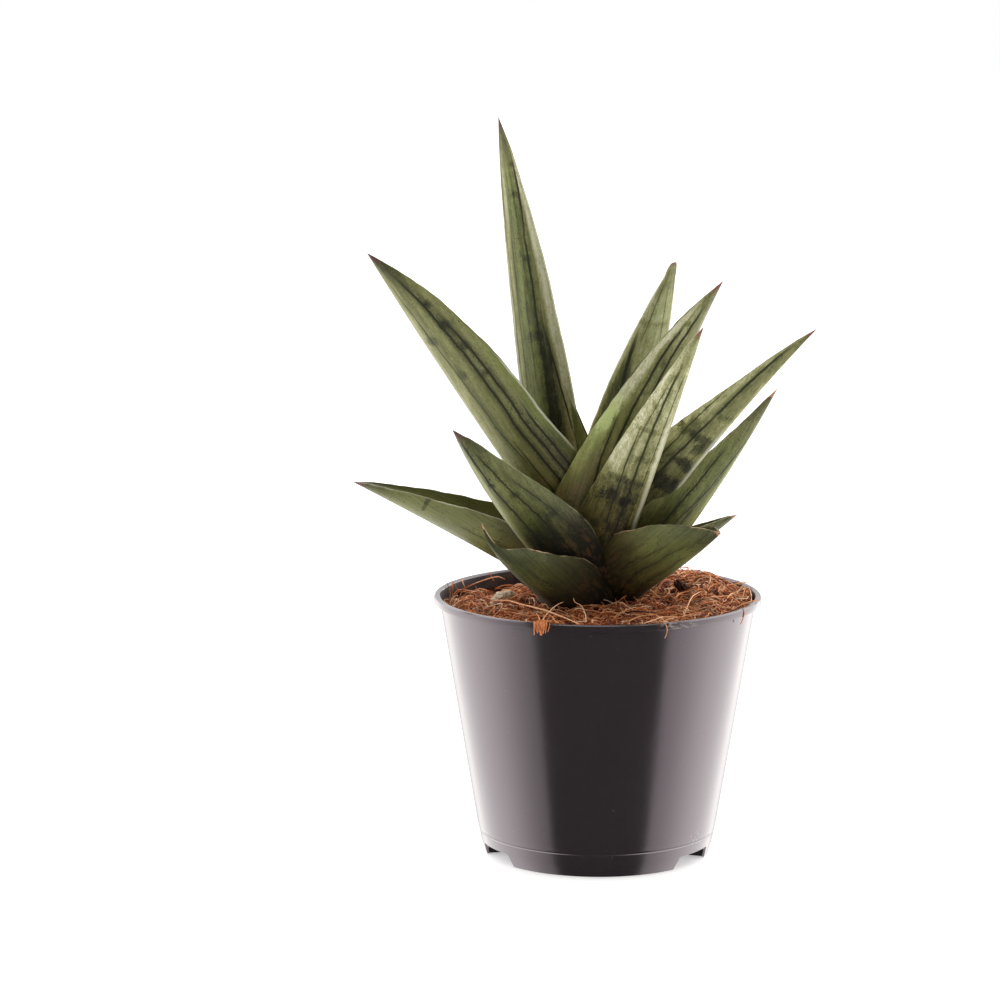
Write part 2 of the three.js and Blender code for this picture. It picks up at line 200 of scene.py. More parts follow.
light.node("ShaderNodeOutputWorld", {"Surface": both.outputs[0]})

# Pot.
# A round nursery pot, injection moulded in thin dark anthracite plastic: rolled lip and band,
# tapered wall with a knee, raised floor with drain holes, and a skirt cut into three feet.
MM = 0.001
POT_LOOPS = [
    (22, 0), (23.5, 5), (41.9, 5), (40.3, 0), (40.5, 0), (41.2, 0.15), (42.8, 5), (43.95, 10.6),
    (44.15, 11.2), (57.75, 92.8), (59.3, 93.25), (59.85, 93.5), (60, 93.9), (60, 95.2),
    (59.85, 95.7), (59.4, 96), (58.3, 96), (57.85, 95.85), (57.6, 95.4), (57.1, 93.4),
    (56.75, 91.6), (43.2, 11), (42.2, 6.2), (22.5, 6.2), (21, 1.2),
]
FRONT_FOOT = -92
# Gaps between the feet, webs inside them, and drain holes: middles and reaches from the axis,
# heights and half widths.
GAP_MIDDLE, GAP_REACH, GAP_TOP, GAP_HALF_TOP, GAP_HALF_FOOT = 42.5, 4.5, 4.8, 9.4, 11.3
WEB_MIDDLE, WEB_REACH, WEB_TOP, WEB_HALF, WEB_OFF_GAP = 37.9, 2.7, 5.4, 0.45, 17
HOLES, HOLE_RING, HOLE_RADIUS = 9, 33, 3


def start_piece(name):
    made = bpy.context.object
    made.name = made.data.name = name
    return made


def loops(profile):
    """Carries the selected loop through (radius, height) pairs, all about the pot's axis."""
    radius, height = profile[0]
    for next_radius, next_height in profile[1:]:
        bpy.ops.mesh.extrude_region_move(
            TRANSFORM_OT_translate={"value": (0, 0, (next_height - height) * MM)})
        size = next_radius / radius
        bpy.ops.transform.resize(value=(size, size, 1), center_override=(0, 0, next_height * MM))
        radius, height = next_radius, next_height


def edit_all():
    bpy.ops.object.mode_set(mode="EDIT")
    bpy.ops.mesh.select_all(action="SELECT")


def close_ends(piece, in_first_loop):
    """Fills the selected last loop and then the first one."""
    bpy.ops.mesh.edge_face_add()
    bpy.ops.mesh.select_all(action="DESELECT")
    bpy.ops.object.mode_set(mode="OBJECT")
    for vertex in piece.data.vertices:
        vertex.select = in_first_loop(vertex.co)
    bpy.ops.object.mode_set(mode="EDIT")
    bpy.ops.mesh.edge_face_add()


def face_outward():
    bpy.ops.mesh.select_all(action="SELECT")
    bpy.ops.mesh.normals_make_consistent(inside=False)
    bpy.ops.object.mode_set(mode="OBJECT")


def turned(x, y, turn):
    return x * math.cos(turn) - y * math.sin(turn), x * math.sin(turn) + y * math.cos(turn)


def make_active(piece):
    bpy.ops.object.select_all(action="DESELECT")
    piece.select_set(True)
    bpy.context.view_layer.objects.active = piece


def cut_away(piece, cutter, operation="DIFFERENCE"):
    make_active(piece)
    cut = piece.modifiers.new("cut", "BOOLEAN")
    cut.object = cutter
    cut.operation = operation
    cut.solver = "EXACT"
    bpy.ops.object.modifier_apply(modifier=cut.name)
    bpy.data.objects.remove(cutter)


bpy.ops.mesh.primitive_circle_add(vertices=144, radius=POT_LOOPS[0][0] * MM, fill_type="NOTHING")
pot = start_piece("pot_shell")
edit_all()
loops(POT_LOOPS)
close_ends(pot, lambda spot: spot.z < 0.01 * MM and spot.xy.length < 22.1 * MM)
face_outward()

# The skirt is open between the feet: a block with sloped ends takes each gap out of it.
for gap in range(3):
    turn = math.radians(FRONT_FOOT + 120 * (gap + 0.5))
    bpy.ops.mesh.primitive_cube_add(size=1)
    block = start_piece("foot_gap")
    for vertex in block.data.vertices:
        top = vertex.co.z > 0
        vertex.co.x = (GAP_MIDDLE + math.copysign(GAP_REACH, vertex.co.x)) * MM
        vertex.co.y = math.copysign(GAP_HALF_TOP if top else GAP_HALF_FOOT, vertex.co.y) * MM
        vertex.co.z = (GAP_TOP if top else -1) * MM
    edit_all()
    bpy.ops.mesh.bevel(offset=0.7 * MM, segments=3, affect="EDGES")
    bpy.ops.object.mode_set(mode="OBJECT")
    for vertex in block.data.vertices:
        vertex.co.xy = turned(vertex.co.x, vertex.co.y, turn)
    cut_away(pot, block)

# Each end of a foot has a small upright web inside it, and nine drain holes ring the floor.
for gap in range(3):
    for side in (-1, 1):
        turn = math.radians(FRONT_FOOT + 120 * (gap + 0.5) + side * WEB_OFF_GAP)
        bpy.ops.mesh.primitive_cube_add(size=1)
        web = start_piece("web")
        for vertex in web.data.vertices:
            x = (WEB_MIDDLE + math.copysign(WEB_REACH, vertex.co.x)) * MM
            y = math.copysign(WEB_HALF, vertex.co.y) * MM
            vertex.co.z = (WEB_TOP if vertex.co.z > 0 else 0.1) * MM
            vertex.co.xy = turned(x, y, turn)
        cut_away(pot, web, "UNION")
for hole in range(HOLES):
    turn = math.radians(FRONT_FOOT + 360 / HOLES * (hole + 0.5))
    bpy.ops.mesh.primitive_cylinder_add(vertices=28, radius=HOLE_RADIUS * MM, depth=6 * MM)
    drill = start_piece("drain_hole")
    ring = HOLE_RING * MM
    for vertex in drill.data.vertices:
        vertex.co += Vector((ring * math.cos(turn), ring * math.sin(turn), 5.6 * MM))
    cut_away(pot, drill)
bpy.ops.object.shade_smooth_by_angle(angle=math.radians(28))

# Its pinkish specular tint is a painted tint of the reflected studio light.
plastic = Finish("anthracite_plastic", IOR=1.82, Specular_Tint=(1.0, 0.88, 0.955, 1))
at = plastic.place()
cloud = plastic.grain(plastic.stretched(at, (40, 40, 18)), 1.0, 3.0)
speck = plastic.grain(at, 620.0, 1.0)
dust_area = plastic.grain(at, 46.0, 2.0)
dirt = plastic.times(plastic.ease(speck, 0.75, 0.775), plastic.ease(dust_area, 0.46, 0.6))
height = plastic.node("ShaderNodeSeparateXYZ", {0: at}).outputs["Z"]
chalk = plastic.times(plastic.near(at, (0.0368, -0.0272, 0.0108), 0.004),
                      plastic.ease(plastic.grain(at, 900.0, 3.0), 0.54, 0.62))
smudge = plastic.grain(plastic.stretched(at, (1, 1, 2.4)), 480.0, 3.0)
smear = plastic.times(plastic.near(at, (0.029, -0.0522, 0.0955), 0.0095),
                      plastic.ease(height, 0.0932, 0.0940), plastic.ease(smudge, 0.44, 0.6))
colour = plastic.mix(cloud, (0.012, 0.0092, 0.0102, 1), (0.017, 0.0132, 0.0145, 1))
colour = plastic.mix(plastic.times(dirt, 0.8), colour, (0.07, 0.035, 0.02, 1))
colour = plastic.mix(plastic.times(chalk, 0.8), colour, (0.62, 0.58, 0.54, 1))
colour = plastic.mix(plastic.times(smear, 0.45), colour, (0.42, 0.37, 0.3, 1))
seam = plastic.times(plastic.ease(height, 0.0084, 0.0088), plastic.ease(height, 0.0094, 0.0089))
plastic.wire("Base Color", colour)
plastic.wire("Roughness", plastic.plus(
    0.17, plastic.ease(cloud, 0.25, 0.75, 0.05), plastic.times(dirt, 0.1),
    plastic.times(plastic.higher(chalk, smear), 0.5)))
skin = plastic.relief(plastic.grain(plastic.stretched(at, (90, 90, 60)), 1.0, 3.0), 0.00012, 0.35)
plastic.wire("Normal", plastic.relief(plastic.higher(chalk, seam), 0.0002, 0.6, skin))
pot.data.materials.append(plastic.material)

# Inside the wall the same plastic is dull and dusted with brown coir; this duller copy with
# weaker reflection is painted shade for the shaded inside of the pot.
shaded_dusty = Finish("shaded_dusty_plastic_inside", Specular_IOR_Level=0.16)
at = shaded_dusty.place()
dust = shaded_dusty.grain(at, 260.0, 4.0, 0.65)
shaded_dusty.wire("Base Color", shaded_dusty.mix(shaded_dusty.ease(dust, 0.42, 0.66), (0.012, 0.008, 0.009, 1),
                                   (0.05, 0.026, 0.017, 1)))
shaded_dusty.wire("Roughness", shaded_dusty.plus(0.4, shaded_dusty.times(dust, 0.25)))
pot.data.materials.append(shaded_dusty.material)
for face in pot.data.polygons:
    inward = face.normal.x * face.center.x + face.normal.y * face.center.y < 0
    if inward and 10 * MM < face.center.z < 95.3 * MM:
        face.material_index = 1
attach(pot, "root")
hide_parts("pot")

# Coir bed.
# The pot is filled with coconut fibre: a pressed-down body with a loose, hollowed top that is
# heaped round the plant, and over it thousands of strands, tan at the tips and brown below.
COIR_FOOT = [(20.5, 1.5), (22, 6.5), (41.8, 6.5), (42.8, 11), (56.4, 90.6)]
HEAP_TOP, EDGE_TOP = 95.2, 91.3


def coir_height(x, y):
    """Height of the coir's top at a place, all in millimetres."""
    r, a = math.hypot(x, y), math.atan2(y, x)
    heap = 1 - min(1, max(0, (r - 14) / 42)) ** 0.8
    lumps = (0.7 * math.sin(3 * a + r * 0.21) + 0.6 * math.sin(7 * a - r * 0.33 + 1)
             + 0.5 * math.sin(11 * a + r * 0.52 + 2))
    outer = min(1, max(0, (r - 22) / 20))
    hollow = 3.6 * math.exp(-((a - 2.4) / 0.55) ** 2) * outer
    mound = 4.2 * math.exp(-((a - 0.4) / 0.55) ** 2 - ((r - 43) / 11) ** 2)
    return (EDGE_TOP + (HEAP_TOP - EDGE_TOP) * heap + 1.2 * math.cos(a - 0.4) * r / 60 + lumps
            - hollow + mound)


bpy.ops.mesh.primitive_circle_add(vertices=180, radius=COIR_FOOT[0][0] * MM, fill_type="NGON",
                                  location=(0, 0, 0))
bed = start_piece("coir_bed")
for vertex in bed.data.vertices:
    vertex.co.z = COIR_FOOT[0][1] * MM
edit_all()
bpy.ops.mesh.delete(type="ONLY_FACE")
bpy.ops.mesh.select_all(action="SELECT")
top_rings = [(56.4 * (1 - k / 46), 91.0) for k in range(46)]
loops(COIR_FOOT + top_rings)
close_ends(bed, lambda spot: spot.z < 1.6 * MM)
face_outward()
for vertex in bed.data.vertices:
    if vertex.co.z > 90.9 * MM:
        x, y = vertex.co.x / MM, vertex.co.y / MM
        clods = noise.noise(Vector((x * 0.16, y * 0.16, 4.0))) + 0.6 * noise.noise(
            Vector((x * 0.5, y * 0.5, 9.0)))
        vertex.co.z = (coir_height(x, y) - 1.6 + 2.4 * clods) * MM
bpy.ops.object.shade_smooth()

peat = Finish("coir_depth", Roughness=0.95, Specular_IOR_Level=0.1)
at = peat.place()
crumb = peat.grain(at, 420.0, 4.0, 0.7)
patch = peat.grain(at, 90.0, 2.0)
colour = peat.mix(peat.ease(crumb, 0.36, 0.66), (0.014, 0.005, 0.003, 1), (0.16, 0.045, 0.016, 1))
colour = peat.mix(peat.ease(patch, 0.4, 0.7, 0.55), colour, (0.028, 0.011, 0.007, 1))
peat.wire("Base Color", colour)
peat.wire("Normal", peat.relief(crumb, 0.0012, 0.9))
bed.data.materials.append(peat.material)
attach(bed, "root")
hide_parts("coir_substrate")

STRAND_STEPS = 9
LAST, MIDDLE = STRAND_STEPS - 1, STRAND_STEPS // 2
WALL_INSIDE = 56.9


def kept_inside(x, y, reach=WALL_INSIDE - 0.6):
    r = math.hypot(x, y)
    return (x * reach / r, y * reach / r) if r > reach else (x, y)


def lying_strand(draw, low, high, lift, sideways, curl):
    """One strand on the coir: its path in millimetres, both ends sunk or one of them loose."""
    r = 13 + 44 * math.sqrt(draw.random())
    a = draw.uniform(0, 2 * math.pi)
    x, y = r * math.cos(a), r * math.sin(a)
    heading = draw.uniform(0, 2 * math.pi)
    if draw.random() < sideways:
        heading = a + math.pi / 2 + draw.gauss(0, 0.35)
    length = draw.uniform(low, high)
    bend = draw.gauss(0, curl)
    crimp, beat = draw.uniform(0.2, 1.1), draw.uniform(4, 11)
    rise = draw.uniform(0.15, 1.0) ** 1.5 * lift
    loose = draw.random()
    path = []
    for k in range(STRAND_STEPS):
        s = k / LAST
        turn = (heading + bend * (s - 0.5) * length / 12
                + 0.35 * crimp * math.sin(beat * s + loose * 9))
        px, py = kept_inside(x, y)
        z = (coir_height(px, py) - 0.7 + (rise + 0.9) * math.sin(math.pi * s)
             + 0.25 * crimp * math.sin(beat * 1.4 * s))
        if loose > 0.9:
            z += lift * 1.1 * s ** 2
        path.append((px, py, z))
        x += length / LAST * math.cos(turn)
        y += length / LAST * math.sin(turn)
    return path


def strand_piece(name, paths, radii, tones):
    """All the strands of one group as tapered tubes in one mesh, each with its own tone."""
    curve = bpy.data.curves.new(name, "CURVE")
    curve.dimensions = "3D"
    curve.bevel_depth = MM
    curve.bevel_resolution = 0
    curve.use_fill_caps = True
    curve.resolution_u = 1
    for path, radius in zip(paths, radii):
        spline = curve.splines.new("POLY")
        spline.points.add(len(path) - 1)
        for k, (point, place) in enumerate(zip(spline.points, path)):
            point.co = (place[0] * MM, place[1] * MM, place[2] * MM, 1)
            s = k / (len(path) - 1)
            point.radius = radius * (0.55 + 0.45 * math.sin(math.pi * (0.1 + 0.8 * s)))
    made = bpy.data.objects.new(name, curve)
    bpy.context.collection.objects.link(made)
    make_active(made)
    bpy.ops.object.convert(target="MESH")
    made = bpy.context.object
    made.name = made.data.name = name
    tone = made.data.attributes.new("tone", "FLOAT", "POINT")
    around = 4 * sum(len(path) for path in paths)
    caps = (len(made.data.vertices) - around) // len(paths)
    each = [value for path, value in zip(paths, tones) for _ in range(4 * len(path) + caps)]
    tone.data.foreach_set("value", each)
    bpy.ops.object.shade_smooth()
    made.data.materials.append(fibre.material)
    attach(made, "root")


fibre = Finish("coir_strand", Roughness=0.62, Specular_IOR_Level=0.35)
at = fibre.place()
mottle = fibre.swing(fibre.grain(at, 700.0, 2.0), 0.35)
fibre.wire("Base Color", fibre.ramp(fibre.plus(fibre.own("tone"), mottle), (
    (0.0, (0.045, 0.012, 0.006, 1)), (0.35, (0.25, 0.07, 0.022, 1)),
    (0.6, (0.64, 0.205, 0.06, 1)), (0.8, (0.82, 0.39, 0.18, 1)), (1.0, (0.88, 0.66, 0.44, 1)))))
fibre.wire("Normal", fibre.relief(fibre.grain(at, 2500.0, 1.0), 0.0001, 0.5))

# Loose strands at their own places: [tone, radius, path of (x, y, height)].
PLACED_STRANDS = [
    [0.84, 0.27, (-53.4, 13.1, 92.5), (-50.3, 13.8, 94.5), (-46.8, 16.1, 96), (-43.8, 20.6, 96.5),
     (-40.1, 27.6, 96.5), (-37.1, 35.7, 95.5), (-35, 41.1, 93.5)],
    [0.8, 0.22, (-50.1, 18.5, 98), (-50, 15.9, 97), (-49.2, 14.5, 95), (-50.4, 16.5, 93)],
    [0.75, 0.2, (-56, 13.7, 97.5), (-55, 14.4, 95), (-54.5, 13, 93)],
    [0.55, 0.3, (-54.1, 14.9, 98), (-53.7, 12.5, 96), (-53.9, 13, 93)],
    [0.78, 0.18, (-53.6, 18.5, 96.5), (-51.7, 18, 93)],
    [0.7, 0.16, (-41.3, 37.9, 97), (-39, 39.3, 93)],
    [0.7, 0.16, (-40.3, 36.1, 97), (-39.5, 38.5, 93.5)],
    [0.78, 0.2, (-45.4, 16.4, 95.5), (-43, 15, 92)],
    [0.62, 0.42, (-42.3, -4.3, 92.5), (-38.5, -5.2, 94), (-32.7, -11.3, 95.5), (-28.1, -20.3, 96),
     (-23.6, -28.4, 96.5), (-17.9, -38.1, 97), (-13.3, -47.5, 97), (-10.4, -51.9, 96.8),
     (-6.5, -58.2, 96.2)],
    [0.8, 0.27, (-12.3, -34.5, 99.5), (-14.1, -41.4, 100), (-16.2, -47.5, 99.5),
     (-17.9, -51.8, 98.5), (-19, -55.1, 97.5), (-19.2, -59.2, 96.4), (-19.1, -60.6, 94.6)],
    [0.86, 0.2, (-21.7, -43.3, 97), (-21, -48, 97.2), (-20.1, -53.1, 96.5)],
    [0.92, 0.2, (-17.1, -48.5, 97.5), (-15.8, -51.7, 97.4), (-14.8, -56.9, 97),
     (-13.5, -57.8, 96.6)],
    [0.88, 0.24, (-8.6, -35, 101), (-8, -37.4, 100), (-5.9, -40.5, 99.5), (-4.8, -44.8, 98.5),
     (-4.1, -49.9, 97.3), (-4.1, -54.6, 96)],
    [0.82, 0.22, (27.6, -7.4, 107), (25.4, -7.9, 104), (22.9, -9.2, 101.5), (20.5, -11.4, 98.5),
     (19.4, -11.1, 95)],
    [0.95, 0.3, (37.9, -5, 98), (34.5, -18.9, 99), (32.5, -29.6, 98), (30.3, -36.5, 94)],
    [0.86, 0.26, (16.4, -56.1, 96.2), (19.3, -53.8, 96.8), (23.2, -49.7, 97.2),
     (26.8, -48.6, 97), (29.2, -43.5, 96)],
    [0.93, 0.17, (22.9, -56.6, 97), (23.9, -59.6, 96.6), (24.5, -59.2, 94.2), (23.7, -57.4, 91.2)],
    [0.8, 0.26, (54.1, 1.9, 98), (53.1, -1.3, 95.5), (51.7, -7.4, 93)],
    [0.82, 0.22, (51.9, 15.7, 98.5), (52.6, 16.4, 94)],
    [0.74, 0.26, (47.8, 13.9, 95.5), (50, 12.8, 97.2), (55.5, 17.5, 97.4), (57.6, 18.4, 97)],
    [0.82, 0.2, (32.2, 39.1, 101), (34, 37.9, 99), (34.6, 35.3, 96), (35.6, 35.8, 93)],
    [0.9, 0.18, (40.2, 38.8, 97), (39.8, 36.5, 95.5), (39.1, 37.8, 93)],
    [0.84, 0.2, (40.5, 35.5, 96.4), (42.9, 31.5, 95.5), (46.2, 27.8, 94)],
    [0.8, 0.24, (48, -24, 94.8), (52.5, -19.4, 96.2), (55.6, -17, 96.8), (58.9, -13.2, 96.6)],
    [0.66, 0.26, (52.2, -28.3, 96.4), (52.6, -29.2, 94.6), (51.9, -29.3, 92), (51.2, -28.9, 90.6)],
    [0.88, 0.22, (37.8, -9.5, 97.6), (39.4, -13.9, 97), (41.2, -14.9, 95)],
]


def smooth_path(points, steps=12):
    """More points on the same line, rounded at its corners."""
    ends = [points[0]] + list(points) + [points[-1]]
    path = []
    for k in range(steps):
        s = k / (steps - 1) * (len(points) - 1)
        i = min(int(s), len(points) - 2)
        t = s - i
        a, b, c, d = (Vector(p) for p in ends[i:i + 4])
        path.append(tuple(0.5 * (2 * b + (c - a) * t + (2 * a - 5 * b + 4 * c - d) * t * t
                                 + (3 * b - a - 3 * c + d) * t ** 3)))
    return path


draw = random.Random(20)
# Name, count, lengths, lift, share that lies round the pot, curl, tones and radii.
GROUPS = [
    ("coir_strands_brown", 1150, (6, 20), 1.0, 0.35, 1.0, (0.16, 0.34), (0.1, 0.24)),
    ("coir_strands_orange", 1750, (6, 24), 3.2, 0.45, 1.2, (0.36, 0.7), (0.12, 0.3)),
    ("coir_strands_tan", 620, (8, 30), 3.4, 0.4, 1.7, (0.62, 0.92), (0.12, 0.24)),
]
SHEAF, TUFT = 70, 24
TUFT_AT = -19.4


def patchiness(path):
    """Tone that a strand takes from its place: paler to the right, and in broad patches."""
    x, y, _ = path[MIDDLE]
    return 0.2 * (path[0][0] / 60) + 0.6 * noise.noise(Vector((x * 0.12, y * 0.12, 2.0)))


for name, count, (low, high), lift, sideways, curl, tones, radii in GROUPS:
    paths = [lying_strand(draw, low, high, lift, sideways, curl) for _ in range(count)]
    shades = [draw.uniform(*tones) + patchiness(path) for path in paths]
    widths = [draw.uniform(*radii) for _ in range(count)]
    if name == "coir_strands_orange":
        # A sheaf of long strands follows the wall at the front left. A tuft hooks over the lip.
        for _ in range(SHEAF):
            r, a = draw.uniform(44, 55), math.radians(draw.uniform(186, 248))
            sweep, drift = draw.uniform(0.2, 0.6), draw.uniform(-4, 4)
            tall = draw.uniform(0.4, 2.6)
            path = []
            for k in range(STRAND_STEPS):
                reach, angle = r + drift * k / LAST, a + sweep * k / LAST
                x, y = kept_inside(reach * math.cos(angle), reach * math.sin(angle))
                arch = tall * math.sin(math.pi * (0.1 + 0.8 * k / LAST))
                path.append((x, y, coir_height(x, y) + arch))
            paths.append(path)
            shades.append(draw.uniform(0.45, 0.78))
            widths.append(draw.uniform(0.14, 0.28))
        for _ in range(TUFT):
            x, sink, splay = draw.gauss(TUFT_AT, 0.9), draw.uniform(0, 1.8), draw.gauss(0, 1.1)
            paths.append(smooth_path([
                (x - 2 * splay, -51 + splay, 95.0), (x - splay, -55.2, 96.4 + sink / 3),
                (x + 0.7 * splay, -58.4, 97.0), (x + 0.8 * splay, -60.3, 95.9),
                (x + 0.4 * splay, -60.7 - sink / 3, 92.4 + 1.4 * sink)], STRAND_STEPS))
            shades.append(draw.uniform(0.42, 0.74))
            widths.append(draw.uniform(0.14, 0.26))
    if name == "coir_strands_tan":
        paths += [smooth_path(row[2:]) for row in PLACED_STRANDS]
        shades += [row[0] - 0.08 for row in PLACED_STRANDS]
        widths += [row[1] * 0.85 for row in PLACED_STRANDS]
    strand_piece(name, paths, widths, shades)

# Crumbs in the coir.
# Two pale porous pumice crumbs and one dark chip of bark came with the planting mix and lie
# half sunk in the fibre.
# Piece, node, middle and half sizes in millimetres, turn in degrees, seed and kind.
CRUMBS = [
    ("pumice_left", "pale_fragment_left", (-34, 0, 94.2), (4.6, 3.4, 2.4), 20, 5.0, "pumice"),
    ("pumice_right", "pale_fragment_right", (26.5, 28, 94), (2.6, 2.2, 1.7), 70, 3.0, "pumice"),
    ("bark_piece", "bark_chip", (32, 2, 97.2), (2.0, 5.2, 1.8), 80, 11.0, "bark"),
]
BARK_LEAN = math.radians(48)

pumice = Finish("pumice", Roughness=0.95, Specular_IOR_Level=0.2)
at = pumice.place()
pores = pumice.grain(at, 900.0, 4.0, 0.7)
stain = pumice.grain(at, 260.0, 2.0)
colour = pumice.mix(pumice.ease(pores, 0.34, 0.6), (0.66, 0.42, 0.22, 1), (0.98, 0.88, 0.70, 1))
colour = pumice.mix(pumice.ease(stain, 0.56, 0.74, 0.45), colour, (0.42, 0.17, 0.06, 1))
pumice.wire("Base Color", colour)
pumice.wire("Normal", pumice.relief(pores, 0.0009, 1.0))

bark = Finish("bark", Roughness=0.85, Specular_IOR_Level=0.3)
at = bark.place()
fissure = bark.grain(bark.stretched(at, (1.0, 0.35, 1.0)), 900.0, 4.0, 0.65)
colour = bark.mix(bark.ease(fissure, 0.38, 0.62), (0.02, 0.009, 0.006, 1), (0.13, 0.05, 0.032, 1))
bark.wire("Base Color", colour)
bark.wire("Normal", bark.relief(fissure, 0.0008, 1.0))

for name, node, middle, halves, turn, seed, kind in CRUMBS:
    bpy.ops.mesh.primitive_ico_sphere_add(subdivisions=5, radius=1)
    crumb_piece = start_piece(name)
    spin = math.radians(turn)
    for vertex in crumb_piece.data.vertices:
        where = vertex.co.copy()
        lump = 1 + 0.3 * noise.noise(where * 1.3 + Vector((seed, 0, 0)))
        lump += 0.24 * noise.noise(where * 3.5 + Vector((0, seed, 0)))
        lump += 0.12 * noise.noise(where * 9 + Vector((0, 0, seed)))
        if kind == "bark":
            where.y = math.copysign(abs(where.y) ** 0.6, where.y)
            where.x = math.copysign(abs(where.x) ** 0.75, where.x)
            lump *= 0.92
        x, y, z = (where[i] * halves[i] * lump for i in range(3))
        if kind == "bark":
            y, z = turned(y, z, BARK_LEAN)
        vertex.co = (Vector((*turned(x, y, spin), z)) + Vector(middle)) * MM
    bpy.ops.object.shade_smooth()
    crumb_piece.data.materials.append((pumice if kind == "pumice" else bark).material)
    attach(crumb_piece, "root")
    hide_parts(node)

# Stem.
# The short fleshy rootstock that carries all the leaves, buried in the coir and hidden by them.
flesh = Finish("stem_flesh", Roughness=0.7, Specular_IOR_Level=0.3)
at = flesh.place()
rings = flesh.grain(flesh.stretched(at, (60, 60, 700)), 1.0, 3.0)
colour = flesh.mix(rings, (0.10, 0.075, 0.03, 1), (0.24, 0.2, 0.09, 1))
flesh.wire("Base Color", colour)
flesh.wire("Normal", flesh.relief(rings, 0.0006, 0.7))
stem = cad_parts["stem"]
stem.data.materials.clear()
stem.data.materials.append(flesh.material)

# Leaves.
# Stiff, fleshy, boat-shaped leaves that clasp each other at the crown: a deep channel inside, a
# keel outside, thin hardened margins and a horny brown tip. Sage green, with dark parallel
# lines, frosted pale zones, faint cross bands and rusty bases. Painted into the skin as well:
# shade at the crowded crown, on shaded wings and in some grooves, and highlights along keels.
RING_OUTER, RING_INNER = 36, 28
RING = RING_OUTER + RING_INNER
STATIONS = 110
SHEATH_RISE, SHEATH_SHARE = 80, 0.08
KEEL_SHARE = 0.25
KEEL_STEPS = 220
TOP_ANGLE = math.radians(88)
TIP_FROM, TIP_SHARE = 0.93, 0.07
LIP = 0.6
